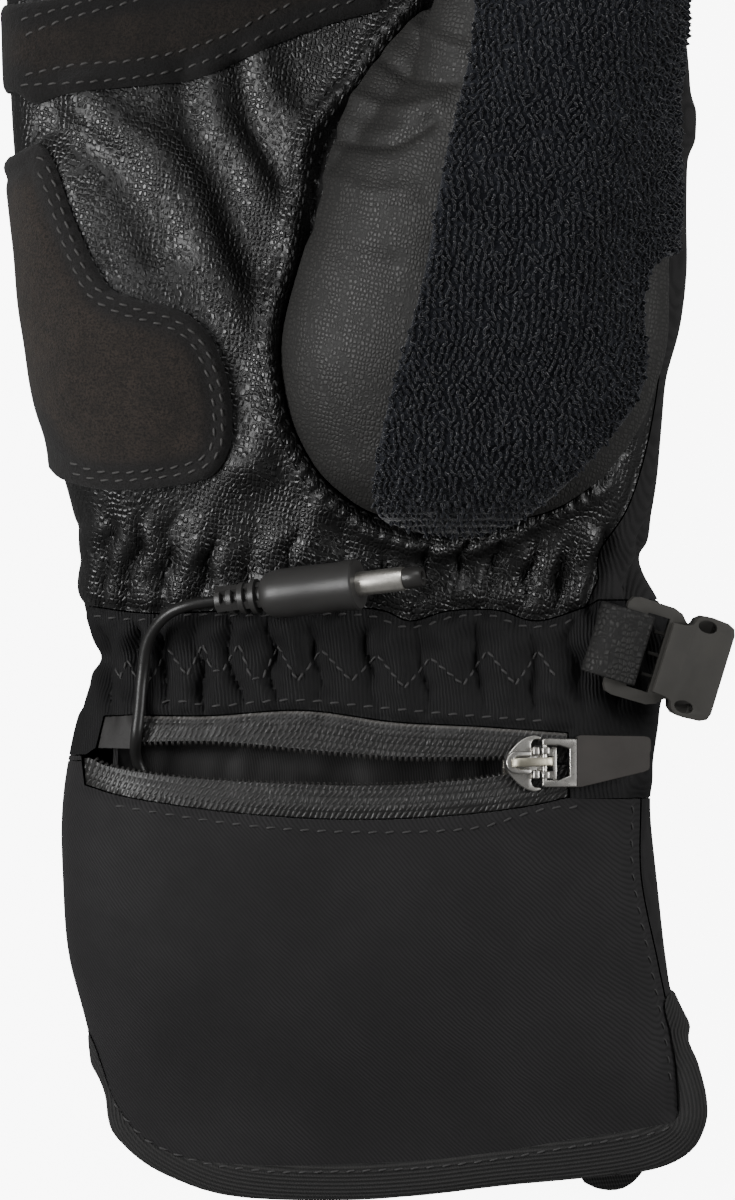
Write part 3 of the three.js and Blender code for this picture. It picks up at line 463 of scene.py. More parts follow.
class Skin:
    """The smooth outside of a form: points, outward normals and four-cornered faces"""

    def __init__(self, points, quads):
        self.points, self.quads = points, quads
        self.settle()

    def settle(self):
        """Finds the normals of the points as they now are."""
        obj = new_mesh("settle", self.points, self.quads)
        _, self.normals, _ = read_mesh(obj)
        bpy.data.objects.remove(obj)
        self.middles = self.points[self.quads].mean(1)

    def raise_by(self, height):
        self.points = self.points + self.normals * height[:, None]
        self.settle()

    def press_flat(self):
        """Keeps every point on or over the table."""
        self.points[:, 2] = np.maximum(self.points[:, 2], 0)
        self.settle()

    def solid(self, name, height):
        return new_mesh(name, self.points + self.normals * height, self.quads)

    def tree(self, height):
        """The skin raised by a height, to cast rays at"""
        return BVHTree.FromPolygons((self.points + self.normals * np.reshape(height, (-1, 1))).tolist(),
                                    self.quads.tolist())

    def shell(self, name, chosen, outer, inner):
        """A closed wall over the chosen faces, between two heights over the skin"""
        quads = self.quads[chosen]
        used, quads = np.unique(quads, return_inverse=True)
        quads = quads.reshape(-1, 4)
        outer = np.broadcast_to(outer, len(self.points))[used][:, None]
        inner = np.broadcast_to(inner, len(self.points))[used][:, None]
        p, n = self.points[used], self.normals[used]
        count = len(used)
        a, b = face_edges(quads)
        code = a.astype(np.int64) * count + b
        border = ~np.isin(code, b.astype(np.int64) * count + a)
        a, b = a[border], b[border]
        sides = np.stack([b, a, a + count, b + count], 1)
        return new_mesh(name, np.vstack([p + n * outer, p + n * inner]),
                        np.vstack([quads, quads[:, ::-1] + count, sides]))


def blended(lofts, voxel, rounds):
    """One skin over several closed lofts, remeshed together and relaxed"""
    points, quads, ends, base = [], [], [], 0
    for p, q, e in lofts:
        points.append(p)
        quads.append(q + base)
        ends.append(e + base)
        base += len(p)
    obj = new_mesh("blend", np.vstack(points), np.vstack(quads), np.vstack(ends))
    remesh = obj.modifiers.new("blend", "REMESH")
    remesh.mode = "VOXEL"
    remesh.voxel_size = voxel
    apply_all(obj)
    points, _, corners = read_mesh(obj)
    quads = corners.reshape(-1, 4)
    bpy.data.objects.remove(obj)
    return Skin(relaxed(points, quads, rounds), quads)


# Cutting

def grown(outline, amount):
    """An outline moved outwards by an amount"""
    p = np.array(outline, float)
    after, before = np.roll(p, -1, axis=0), np.roll(p, 1, axis=0)
    turn = np.sign((p[:, 0] * after[:, 1] - after[:, 0] * p[:, 1]).sum())

    def side(d):
        d = np.stack([d[:, 1], -d[:, 0]], 1)
        return d / np.maximum(np.linalg.norm(d, axis=1), 1e-9)[:, None]

    a, b = side(p - before), side(after - p)
    out = a + b
    out /= np.maximum(np.linalg.norm(out, axis=1), 1e-9)[:, None]
    return p + out * (turn * amount / np.maximum(0.35, (out * a).sum(1)))[:, None]


def prism(outline, low, high):
    p = np.array(outline, float)
    if (p[:, 0] * np.roll(p[:, 1], -1) - np.roll(p[:, 0], -1) * p[:, 1]).sum() < 0:
        p = p[::-1]
    count = len(p)
    mesh = bpy.data.meshes.new("prism")
    points = [(x, y, low) for x, y in p] + [(x, y, high) for x, y in p]
    faces = [list(range(count))[::-1], [count + i for i in range(count)]]
    faces += [[i, (i + 1) % count, count + (i + 1) % count, count + i] for i in range(count)]
    mesh.from_pydata(points, [], faces)
    obj = bpy.data.objects.new("prism", mesh)
    bpy.context.scene.collection.objects.link(obj)
    return obj


def oblong(x0, x1, y0, y1):
    return [(x0, y0), (x1, y0), (x1, y1), (x0, y1)]


def block(x0, x1, y0, y1, z0, z1):
    return prism(oblong(x0, x1, y0, y1), z0, z1)


def cut(obj, tool, operation, keep_tool=False):
    for solver in ("MANIFOLD", "EXACT"):
        before = len(obj.data.vertices)
        modifier = obj.modifiers.new("cut", "BOOLEAN")
        modifier.operation = operation
        modifier.object = tool
        modifier.solver = solver
        apply_all(obj)
        if len(obj.data.vertices) != before:
            break
    if not keep_tool:
        bpy.data.objects.remove(tool)
    return obj


def within(obj, outline, low=SIDE_LEVEL):
    return cut(obj, prism(grown(outline, -GAP / 2), low + GAP / 2, HIGH), "INTERSECT")


def around(obj, outline):
    return cut(obj, prism(grown(outline, GAP / 2), SIDE_LEVEL - GAP / 2, HIGH), "DIFFERENCE")


def place(obj, body="glove", replaces=()):
    """Moves a piece from drawing millimetres into the frame and fixes it to its body."""
    points, _, _ = read_mesh(obj)
    obj.data.vertices.foreach_set("co", ((points - BASE) * MM).astype(np.float32).ravel())
    obj.data.update()
    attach(obj, body)
    if replaces:
        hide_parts(*replaces)
    return obj


# Outlines as smooth curves
edge = smooth_line(LEATHER_EDGE)
side = smooth_line(LEATHER_SIDE)
tape_top = smooth_line(TAPE_TOP)
tape_bottom = smooth_line(TAPE_BOTTOM)
teeth_above = np.vstack([smooth_line(TEETH_ABOVE), SHUT["above"]])
teeth_below = np.vstack([smooth_line(TEETH_BELOW), SHUT["below"]])
gauntlet_seam = smooth_line(GAUNTLET_SEAM)
hem = smooth_line(HEM)
binding_top = smooth_line(BINDING_TOP)
groove = smooth_line(THUMB_GROOVE)
heel_patch = np.vstack([smooth_line(HEEL_PATCH), [(-FAR, 170), (-FAR, 205.6)]])
band = np.vstack([smooth_line(BAND_BELOW), smooth_line(BAND_ABOVE), [(-FAR, 236.4), (-FAR, 218.5)]])
terry = np.vstack([smooth_line(TERRY), smooth_line(TERRY_REST)])
leather_region = np.vstack([[(-FAR, 114.8)], edge, side, [(-FAR, 262)]])
wrist_region = np.vstack([[(-FAR, 83), (-56.6, 84.8), (-54.6, 86.2), (-53, 92.6)], tape_top,
                          [(40.5, 76.1), (55.2, 76), (FAR, 76), (FAR, 116), (46.4, 116)], edge[::-1],
                          [(-FAR, 114.8)]])
pocket_region = np.vstack([[(-FAR, 82.7), (-57.5, 83.6)], tape_bottom, gauntlet_seam,
                           [(62.6, BEFORE), (-FAR, BEFORE)]])
zip_region = np.vstack([[(-57.6, 84.6), (-54.6, 86.2), (-53, 92.6)], tape_top, tape_bottom[::-1]])
hem_region = np.vstack([hem, [(FAR, 36), (FAR, PAST), (-FAR, PAST), (-FAR, 22)]])
body_region = np.vstack([binding_top, [(FAR, 40), (FAR, PAST), (-FAR, PAST), (-FAR, 28)]])

# Forms
hand = blended([loft(hand_rings())] + [loft(finger_rings(f)) for f in FINGERS], VOXEL["hand"], 8)
thumb = blended([loft(tube_rings(THUMB, THUMB_SQUARE, "thumb")), loft(tube_rings(GUSSET, 2, "gusset"))],
                VOXEL["thumb"], 10)
hand.press_flat()
xy = hand.points[:, :2]
z = hand.points[:, 2]
front = eased(z, SIDE_LEVEL - 2, SIDE_LEVEL + 3)
off_table = eased(z, 0.3, 4)

# Gathers of the elastic at the wrist, in step with the zigzag stitches over them
CUFF_FOLDS = [
    -66, -58, -51.5, -45.5, -40.1, -32.9, -25.7, -17.9, -9.1, 2.1, 12.7, 24.1, 34.3, 43, 51, 59, 67,
]
PALM_FOLDS = [
    -66, -59, -52.5, -46.5, -39.5, -31.1, -23, -14.5, -5, 4, 12.5, 18.9, 26.1, 33.1, 39.7, 47, 55, 63,
]
# Each band's folds, their height, its middle and reach, the folds' lean, and their share on the back
GATHERS = [(CUFF_FOLDS, 3.2, 103.5, 9.5, 0.12, 0.4), (PALM_FOLDS, 2.5, 121.5, 9.5, -0.2, 0.35)]


def gathers(folds, height, middle, reach, lean, behind):
    """Folds across a band of elastic, no two of them quite alike"""
    stray = wander(hand.points, 11, 31)
    phase = np.interp(xy[:, 0] + lean * (xy[:, 1] - middle) + stray * 0.9, folds, np.arange(len(folds)))
    wave = np.abs(np.sin(math.pi * (phase + 0.15))) ** 0.75 - 0.55
    uneven = 0.85 + 0.4 * wander(hand.points, 17, 32)
    band_only = np.exp(-(np.abs((xy[:, 1] - middle + stray) / reach) ** 3))
    return height * wave * uneven * band_only * (behind + (1 - behind) * front) * off_table


def drawn_relief(points, table):
    """The rises and dips along a table of lines, each with its height and width"""
    return sum(bump(away(points[:, :2], smooth_line(line, 3)), height, width)
               for line, height, width in table)


relief = sum(gathers(*row) for row in GATHERS)

# A fold at the right edge, and the sunken seams: line, depth and width
EDGE_FOLD = [(65, 209.5), (66, 214.5)]
relief += bump(away(xy, np.array(EDGE_FOLD)), 1.4, 2.8) * off_table
SEAMS = [(np.vstack([edge, side]), 0.9, 1.4), (tape_top, 0.5, 0.9), (tape_bottom, 0.5, 0.9),
         (gauntlet_seam, 1, 1.6)]
for line, depth, width in SEAMS:
    d = away(xy, line[::2])
    relief -= (bump(d, depth, width) - bump(d, depth * 0.35, width * 1.6, width * 2.6)) * front
relief -= bump(np.abs(z - SIDE_LEVEL), 0.9, 1.3) * (xy[:, 1] < FINGER_SEAM + 30)
relief -= bump(np.abs(xy[:, 1] - WRIST_SEAM), 0.9, 1.4) * (1 - front) * off_table
relief -= bump(np.abs(xy[:, 1] - FINGER_SEAM), 0.6, 1.2) * off_table

# The rolled and beaded welt along the thumb's seam, and the creases that run over the palm from the thumb
BEAD_PITCH = 2.7
to_groove, along_groove = nearest(xy, groove[::2])
relief += (bump(to_groove, 1.9, 2.2, 3.4) - bump(to_groove, 1.6, 0.9)) * front
relief += bump(to_groove, 0.55, 0.9, 3) * np.cos(along_groove * (2 * math.pi / BEAD_PITCH)) * front
PALM_RIDGES = [
    ([(-56, 217), (-50.5, 211), (-44, 206.5), (-38.5, 200.5), (-35, 193.5), (-32, 186), (-28.8, 179),
      (-26.5, 173.5), (-24, 168.5), (-21.6, 162.5), (-19.5, 153), (-22, 143)], 2.1, 4.4),
    ([(-63, 211), (-58, 207.5), (-52.5, 203.5), (-48.5, 198.5), (-45.5, 192.5), (-42.5, 186.5)], -1.7, 4.2),
    ([(-31.5, 221), (-30.5, 214), (-27.5, 209), (-25, 204.6), (-22, 199), (-19, 194), (-16.5, 190)], 1.3, 3),
    ([(-21.5, 225), (-19, 217), (-15, 212.4), (-13.5, 206)], 1.5, 3.2),
    ([(-37, 222), (-36, 213), (-33, 205), (-29.5, 199), (-26.5, 190), (-23, 182)], -1.5, 3.4),
    ([(-25.5, 224), (-24, 214), (-20.5, 206), (-17, 200)], -1.1, 2.2),
    ([(-26, 143), (-31, 134), (-33, 126)], 0.9, 3),
    ([(-10, 134), (-14, 126), (-15, 119)], 1.0, 2.6),
    ([(40, 130), (36, 124), (33, 118)], 1.0, 2.4),
]
relief += drawn_relief(xy, PALM_RIDGES) * front
relief += wander(hand.points, 34, 3) * 0.35 * off_table
relief += wander(hand.points, 12, 4) * 0.16 * off_table * eased(xy[:, 1], 100, 120)
hand.raise_by(relief)
hand.press_flat()

# The thumb's creases at the crotch
THUMB_CREASES = [
    ([(-6, 208), (4, 206), (12, 210)], -1.2, 1.5),
    ([(-2, 216), (6, 213), (14, 214)], 1.0, 1.7),
    ([(-8, 200), (0, 196), (8, 196)], 0.8, 2.2),
    ([(3, 224), (10, 219), (17, 218)], -1.0, 1.5),
    ([(9, 231), (14, 226), (19, 224)], 0.9, 1.6),
    ([(-11, 190), (-4, 184), (4, 182)], -0.6, 2.4),
]
crease = drawn_relief(thumb.points, THUMB_CREASES) * eased(thumb.points[:, 2], 42, 50)
thumb.raise_by(crease + wander(thumb.points, 26, 8) * 0.4)

# Panels
centre = hand.middles
on_front = centre[:, 2] > SIDE_LEVEL - 2


def over(outline, margin=MARGIN):
    """The hand's faces over an outline and a little past it"""
    return on_front & inside(centre[:, :2], grown(outline, margin))


def not_in(outline):
    return ~((centre[:, 2] > SIDE_LEVEL + MARGIN) & inside(centre[:, :2], grown(outline, -MARGIN)))


def front_panel(name, outline):
    return within(hand.shell(name, over(outline), 0, -WALL), outline)


palm = front_panel("palm_leather", leather_region)
cut(palm, block(-FAR, FAR, WRIST_SEAM, FINGER_SEAM - GAP / 2, UNDER, HIGH), "INTERSECT")
cut(palm, thumb.solid("thumb_room", GAP), "DIFFERENCE")
place(palm, replaces=["palm_panel"])

in_hand = (centre[:, 1] > WRIST_SEAM - 2) & (centre[:, 1] < FINGER_SEAM + 2)
back = hand.shell("back_softshell", in_hand & not_in(leather_region) & not_in(wrist_region), 0, -WALL)
cut(back, block(-FAR, FAR, WRIST_SEAM + GAP / 2, FINGER_SEAM - GAP / 2, UNDER, HIGH), "INTERSECT")
around(back, leather_region)
around(back, wrist_region)
cut(back, thumb.solid("thumb_room", GAP), "DIFFERENCE")
place(back, replaces=["back_panel"])

middles = np.array([f[1] + (f[2] - f[1]) * 0.4 for f in FINGERS])
own_finger = np.abs(centre[:, :1] - middles[None]).argmin(1)
for number, (name, *_) in enumerate(FINGERS):
    chosen = (centre[:, 1] > FINGER_SEAM - 3) & (own_finger == number)
    finger = hand.shell("finger_" + name + "_glove", chosen, 0, -WALL)
    cut(finger, block(-FAR, FAR, FINGER_SEAM + GAP / 2, PAST, UNDER, HIGH), "INTERSECT")
    place(finger, replaces=["finger_" + name])

wrist = front_panel("wrist_softshell", wrist_region)
place(wrist, replaces=["wrist_front"])

pocket = front_panel("pocket_softshell", pocket_region)
cut(pocket, prism(grown(body_region, TUCKED), UNDER, HIGH), "INTERSECT")
place(pocket, replaces=["pocket_front"])

in_gauntlet = centre[:, 1] < WRIST_SEAM + 2
for region in (wrist_region, pocket_region, zip_region):
    in_gauntlet &= not_in(region)
gauntlet = hand.shell("gauntlet_softshell", in_gauntlet, 0, -WALL)
cut(gauntlet, block(-FAR, FAR, BEFORE, WRIST_SEAM - GAP / 2, UNDER, HIGH), "INTERSECT")
for region in (wrist_region, pocket_region, zip_region):
    around(gauntlet, region)
cut(gauntlet, prism(grown(body_region, TUCKED), UNDER, HIGH), "INTERSECT")
place(gauntlet, replaces=["gauntlet_back"])

# The binding stands out a little and is rounded over at both edges.
to_edge = np.minimum(away(xy, hem), away(xy, binding_top))
rounding = BINDING_ROUND - rounded_rise(to_edge, BINDING_ROUND)
in_binding = ~inside(centre[:, :2], grown(body_region, -3)) & (centre[:, 1] < 60)
binding = hand.shell("cuff_elastic", in_binding, BINDING_OVER - rounding, rounding - WALL - BINDING_OVER)
hem_room = prism(hem_region, UNDER, HIGH)
cut(hem_room, prism(smooth_line(HEM_BEHIND), UNDER - 1, SIDE_LEVEL - 6), "UNION")
cut(binding, hem_room, "INTERSECT")
cut(binding, prism(grown(body_region, GAP / 2), UNDER, HIGH), "DIFFERENCE")
place(binding, replaces=["cuff_binding"])

# Suede patches on the palm
patch_rise = {}
for name, outline, thick, node in (("heel_suede", heel_patch, PATCH_THICK["heel"], "heel_patch"),
                                   ("knuckle_suede", band, PATCH_THICK["suede"], "knuckle_band")):
    depth = depth_inside(xy, outline[::2])
    rise = rounded_rise(depth, thick)
    rise += bump(depth, -0.5, 1.3, 4.2) * (thick > 2)
    patch_rise[name] = PATCH_FOOT + rise
    patch = hand.shell(name, over(outline, 2), patch_rise[name], PATCH_UNDER)
    within(patch, outline)
    place(patch, replaces=[node])

# Thumb
outer = thumb.solid("thumb_leather", 0)
cut(outer, thumb.solid("thumb_hollow", -WALL), "DIFFERENCE")
cut(outer, hand.solid("hand_hollow", -WALL), "DIFFERENCE")
place(outer, replaces=["thumb_shell"])

depth = depth_inside(thumb.points[:, :2], terry[::2])
terry_rise = PATCH_FOOT + rounded_rise(depth, PATCH_THICK["terry"], TERRY_EDGE_WIDTH)
chosen_terry = (thumb.middles[:, 2] > 38) & inside(thumb.middles[:, :2], grown(terry, 2))
cloth_patch = thumb.shell("thumb_towelling", chosen_terry, terry_rise, PATCH_UNDER)
within(cloth_patch, terry, 40)
place(cloth_patch, replaces=["thumb_terry"])

# Zip tapes
for name, outline, node in (
    ("tape_upper", np.vstack([tape_top, teeth_above[::-1]]), "zip_tape_upper"),
    ("tape_lower", np.vstack([[(-57.2, 84.3)], teeth_below, tape_bottom[::-1]]), "zip_tape_lower"),
    ("tape_end", np.array(ZIP_END), "zip_end_tab"),
):
    tape = hand.shell(name, over(outline), *TAPE_LEVELS)
    place(within(tape, outline), replaces=[node])


# Finishes

class Wire:
    """A number that comes out of a node. Sums, products and so on add their Math nodes."""

    def __init__(self, finish, socket):
        self.finish, self.socket = finish, socket

    def maths(self, operation, a, b=0.0):
        return self.finish.node("ShaderNodeMath", {"operation": operation}, {0: a, 1: b})

    def __add__(self, other):
        return self.maths("ADD", self, other)

    def __sub__(self, other):
        return self.maths("SUBTRACT", self, other)

    def __rsub__(self, other):
        return self.maths("SUBTRACT", other, self)

    def __mul__(self, other):
        return self.maths("MULTIPLY", self, other)

    __radd__ = __add__
    __rmul__ = __mul__


class Finish:
    """One procedural material, which reads the piece's own place or a mark painted on its points"""

    def __init__(self, name):
        self.material = bpy.data.materials.new(name)
        self.material.use_nodes = True
        self.tree = self.material.node_tree
        self.shader = self.tree.nodes["Principled BSDF"]
        self.spot = self.node("ShaderNodeTexCoord", out="Object")
        self.x, self.y, self.z = (self.node("ShaderNodeSeparateXYZ", inputs={0: self.spot}, out=k)
                                  for k in range(3))

    def feed(self, node, inputs):
        for key, value in inputs.items():
            socket = node.inputs[key]
            if isinstance(value, Wire):
                self.tree.links.new(value.socket, socket)
            elif socket.type == "RGBA" and len(value) == 3:
                socket.default_value = (*value, 1)
            else:
                socket.default_value = value

    def node(self, kind, settings=None, inputs=None, out=0):
        node = self.tree.nodes.new(kind)
        for key, value in (settings or {}).items():
            setattr(node, key, value)
        self.feed(node, inputs or {})
        return Wire(self, node.outputs[out])

    def turned(self, turn, scale):
        return self.node("ShaderNodeMapping", inputs={"Vector": self.spot, "Rotation": turn, "Scale": scale})

    def noise(self, size, detail=3, rough=0.6, spot=None):
        return self.node("ShaderNodeTexNoise", inputs={
            "Vector": spot or self.spot, "Scale": 1 / (size * MM), "Detail": detail, "Roughness": rough})

    def cells(self, size, feature, spot, random=1.0):
        return self.node("ShaderNodeTexVoronoi", {"feature": feature}, {
            "Vector": spot, "Scale": 1 / (size * MM), "Randomness": random}, "Distance")

    def eased(self, value, low, high, to_low=0.0, to_high=1.0):
        return self.node("ShaderNodeMapRange", {"interpolation_type": "SMOOTHSTEP"}, {
            "Value": value, "From Min": low, "From Max": high, "To Min": to_low, "To Max": to_high})

    def mark(self, name):
        return self.node("ShaderNodeAttribute", {"attribute_name": name}, out="Fac")

    def mix(self, share, a, b):
        return self.node("ShaderNodeMix", {"data_type": "RGBA"}, {0: share, 6: a, 7: b}, 2)

    def wave(self, direction, pitch, push):
        """Ribs across a direction, from -1 to 1, moved along by a share of their pitch"""
        along = sum(axis * (part / (pitch * MM))
                    for axis, part in zip((self.x, self.y, self.z), direction) if part)
        angle = (along + push) * (2 * math.pi)
        return angle.maths("SINE", angle)

    def vectors(self, operation, inputs):
        return self.node("ShaderNodeVectorMath", {"operation": operation}, inputs)

    def strayed(self, spot, amount, size):
        """A place moved about by noise, so that the cells of a grain aren't regular"""
        colour = self.node("ShaderNodeTexNoise", inputs={"Vector": spot, "Scale": 1 / (size * MM)},
                           out="Color")
        centred = self.vectors("SUBTRACT", {0: colour, 1: (0.5, 0.5, 0.5)})
        scaled = self.vectors("SCALE", {0: centred, "Scale": amount * MM})
        return self.vectors("ADD", {0: spot, 1: scaled})

    def relief(self, height, depth):
        return self.node("ShaderNodeBump", inputs={"Height": height, "Distance": depth * MM})

    def done(self, **inputs):
        self.feed(self.shader, {key.replace("_", " "): value for key, value in inputs.items()})
        return self.material


def shade(colour, share):
    return tuple(c * share for c in colour)


def leather(name, base, worn, grain, depth, rough, gloss):
    """Grained leather: round pebbles in wavering columns between fine creases"""
    f = Finish(name)
    spot = f.strayed(f.turned((0, 0, 0.2), (1, 0.8, 0.15)), 1.5, 6)
    pebbles = f.eased(f.cells(grain, "DISTANCE_TO_EDGE", spot, 0.55), 0.0, 0.34)
    pores = f.cells(grain * 0.42, "F1", spot)
    wrinkles = f.noise(2.4, 4, 0.55, f.turned((0, 0, 0.3), (1, 0.3, 1)))
    height = pebbles - pores * 0.15 + wrinkles * 0.3
    tone = f.mix(f.eased(f.noise(20, 3), 0.35, 0.7), base, worn)
    # The creases between the pebbles are painted at half the tone: painted shade.
    colour = f.mix(pebbles, shade(base, 0.5), tone)
    return f.done(Base_Color=colour, Roughness=(1 - pebbles) * 0.2 + f.noise(8) * 0.12 + (rough - 0.06),
                  Normal=f.relief(height, depth), Specular_IOR_Level=gloss)


def cloth(name, base, worn, turn, pitch, depth, rough, sheen=0.06, gloss=0.25):
    """Fine twill in slanting ribs"""
    f = Finish(name)
    across = (math.cos(turn), math.sin(turn), 0.5)
    ribs = f.wave(across, pitch, f.noise(9, 2) * 2.2)
    fuzz = f.noise(0.3, 2)
    tone = f.mix(f.eased(f.noise(18, 3), 0.35, 0.7), base, worn)
    # The troughs of the twill's ribs are painted darker: painted shade.
    colour = f.mix(f.eased(ribs, -1, 0.4), shade(base, 0.6), tone)
    return f.done(Base_Color=colour, Roughness=f.noise(5) * 0.12 + rough, Sheen_Weight=sheen,
                  Sheen_Roughness=0.5, Normal=f.relief(ribs * 0.5 + fuzz, depth), Specular_IOR_Level=gloss)


def suede(name, share):
    """Brushed suede: a brown clouded middle and a darker, greyer rim"""
    f = Finish(name)
    nap = f.noise(0.45, 4, 0.7)
    clouds = f.eased(f.noise(5, 5, 0.7), 0.38, 0.66)
    brown = f.mix(clouds, shade((0.0225, 0.0185, 0.016), share), shade((0.031, 0.0243, 0.0202), share))
    colour = f.mix(f.mark("middle"), shade((0.0145, 0.0138, 0.014), share), brown)
    # Where the nap dips it is painted near black: painted shade in its hollows.
    colour = f.mix(f.eased(nap, 0.35, 0.6), shade((0.009, 0.0085, 0.008), share), colour)
    return f.done(Base_Color=colour, Roughness=0.95, Normal=f.relief(nap * 0.8 + f.noise(1.5), 0.3),
                  Sheen_Weight=0.08, Sheen_Roughness=0.6, Specular_IOR_Level=0.15)


def towelling(name):
    """Terry cloth, with painted shade between its loops"""
    f = Finish(name)
    fluff = f.noise(0.4, 4, 0.7)
    tone = f.mix(f.eased(f.noise(8, 3), 0.35, 0.7), (0.018, 0.0192, 0.0242), (0.028, 0.03, 0.0365))
    # Where the fluff dips the cloth is painted near black: painted shade between the loops.
    colour = f.mix(f.eased(fluff, 0.3, 0.65), (0.008, 0.009, 0.0115), tone)
    return f.done(Base_Color=colour, Roughness=1.0, Normal=f.relief(fluff, 0.35), Sheen_Weight=0.35,
                  Sheen_Roughness=0.35, Specular_IOR_Level=0.1)


# How far apart the tapes' rows of knots and the binding's ribs are
TAPE_ROW = 1.45
RIB_PITCH = 0.85


def coated_tape(name):
    """Zip tape under a half-glossy coat: slanting knots in rows with painted highlights on them, and a
    painted highlight along its outer edge
    """
    f = Finish(name)
    edge_far = f.mark("edge")
    sine = edge_far.maths("SINE", edge_far * (math.pi / TAPE_ROW))
    rows = f.node("ShaderNodeMath", {"operation": "ABSOLUTE"}, {0: sine})
    knots = f.wave((1, -0.5, 0), 1.15, f.noise(5) * 1.5)
    height = f.eased(knots, -0.5, 0.9) * rows
    fade = f.eased(f.noise(9, 2), 0.3, 0.6, 0.45, 1.0)
    # The knots' tops are painted light as painted highlights, and the gaps between them dark as painted
    # shade.
    colour = f.mix(height * fade, (0.0085, 0.0083, 0.008), (0.033, 0.0315, 0.0305))
    # A painted highlight along the tape's outer edge, where the seam's groove shades it.
    colour = f.mix(f.eased(edge_far, 0.45, 0.9, 0.9, 0.0), colour, (0.075, 0.071, 0.067))
    return f.done(Base_Color=colour, Roughness=f.noise(5) * 0.2 + 0.32, Normal=f.relief(height * fade, 0.2),
                  Specular_IOR_Level=0.5)


def ribbed_elastic(name):
    """Elastic with fine ribs along its edge"""
    f = Finish(name)
    rib = f.mark("rib") * (2 * math.pi / RIB_PITCH)
    ribs = rib.maths("SINE", rib)
    threads = f.wave((0.9, 0.3, 0.3), 0.5, f.noise(4))
    # The troughs between the ribs are painted darker: painted shade.
    colour = f.mix(f.eased(ribs, -0.9, 0.5), (0.009, 0.009, 0.009), (0.0215, 0.0208, 0.0205))
    return f.done(Base_Color=colour, Roughness=0.8, Normal=f.relief(ribs + threads * 0.35, 0.1),
                  Sheen_Weight=0.06, Specular_IOR_Level=0.3)


def moulded(name, base, rough, gloss=0.4, size=0.5, depth=0.02):
    """Moulded plastic or rubber, with a fine bloom"""
    f = Finish(name)
    grain = f.noise(size, 3)
    colour = f.mix(f.eased(f.noise(6, 3), 0.3, 0.7), shade(base, 0.85), base)
    return f.done(Base_Color=colour, Roughness=grain * 0.14 + (rough - 0.07), Normal=f.relief(grain, depth),
                  Specular_IOR_Level=gloss)


def metal(name, base, rough, scratch=0.012):
    """Metal with fine brush marks and a few stains"""
    f = Finish(name)
    brushed = f.noise(0.5, 4, 0.6, f.turned((0, 0, 0.1), (0.35, 2.2, 1)))
    stain = f.eased(f.noise(1.6, 3), 0.3, 0.7)
    colour = f.mix(stain, shade(base, 0.62), base)
    return f.done(Base_Color=colour, Metallic=1.0, Roughness=(1 - stain) * 0.14 + rough,
                  Normal=f.relief(brushed, scratch))


def thread(name, base):
    f = Finish(name)
    twist = f.noise(0.28, 2)
    # The twist's grooves are painted darker: painted shade.
    return f.done(Base_Color=f.mix(twist, shade(base, 0.6), base), Roughness=0.6,
                  Normal=f.relief(twist, 0.05), Specular_IOR_Level=0.3)


# Each finish: what makes it, and what that takes after the name
LOOKS = {
    "leather": (leather, (0.0068, 0.0066, 0.0066), (0.0088, 0.0085, 0.0083), 0.88, 0.15, 0.275, 0.55),
    "thumb_leather": (leather, (0.0255, 0.0247, 0.0235), (0.031, 0.03, 0.0285), 0.75, 0.09, 0.5, 0.4),
    "strap_leather": (leather, (0.018, 0.0175, 0.017), (0.024, 0.0234, 0.0222), 0.95, 0.11, 0.55, 0.3),
    "softshell": (cloth, (0.0115, 0.0108, 0.0115), (0.0158, 0.0149, 0.0158), 0.75, 0.7, 0.05, 0.7),
    "wrist_cloth": (cloth, (0.0042, 0.0041, 0.0045), (0.0066, 0.0064, 0.0069), 0.12, 0.7, 0.11, 0.6,
                    0.02, 0.2),
    "side_cloth": (cloth, (0.0105, 0.01, 0.0104), (0.0145, 0.0138, 0.0142), 0.1, 0.9, 0.1, 0.7),
    "lining": (cloth, (0.0145, 0.014, 0.014), (0.024, 0.0232, 0.0232), 0.2, 0.5, 0.03, 0.6),
    "heel_suede": (suede, 1.2),
    "band_suede": (suede, 0.72),
    "terry": (towelling,),
    "tape": (coated_tape,),
    "elastic": (ribbed_elastic,),
    "tab": (moulded, (0.0455, 0.0415, 0.0385), 0.8, 0.3),
    "lead": (moulded, (0.013, 0.0127, 0.0124), 0.4, 0.4, 0.9, 0.03),
    "plug": (moulded, (0.034, 0.033, 0.032), 0.4),
    "tape_end": (moulded, (0.017, 0.016, 0.0155), 0.6, 0.3, 0.8, 0.05),
    "plastic": (moulded, (0.043, 0.041, 0.037), 0.55),
    "coil": (moulded, (0.02, 0.019, 0.018), 0.4),
    "black": (moulded, (0.026, 0.025, 0.024), 0.35),
    "metal": (metal, (0.74, 0.72, 0.68), 0.24),
    "bar": (metal, (0.50, 0.47, 0.38), 0.36),
    "nickel": (metal, (0.95, 0.92, 0.85), 0.3, 0.004),
    "thread": (thread, (0.07, 0.068, 0.066)),
    "cloth_thread": (thread, (0.05, 0.049, 0.049)),
    "black_thread": (thread, (0.018, 0.018, 0.018)),
}
FINISHES = {name: maker(name, *numbers) for name, (maker, *numbers) in LOOKS.items()}


def dress(obj, finish, angle=50):
    bpy.ops.object.select_all(action="DESELECT")
    obj.select_set(True)
    bpy.context.view_layer.objects.active = obj
    bpy.ops.object.shade_smooth_by_angle(angle=math.radians(angle))
    obj.select_set(False)
    obj.data.materials.clear()
    obj.data.materials.append(FINISHES[finish])
    return obj


def mark(obj, name, values):
    """Paints one number on each point of a piece, for its finish to read."""
    attribute = obj.data.attributes.new(name, "FLOAT", "POINT")
    attribute.data.foreach_set("value", np.asarray(values, np.float32))


def drawn(name):
    """A placed piece, and its points back in drawing millimetres"""
    obj = bpy.data.objects[name]
    return obj, read_mesh(obj)[0] / MM + BASE


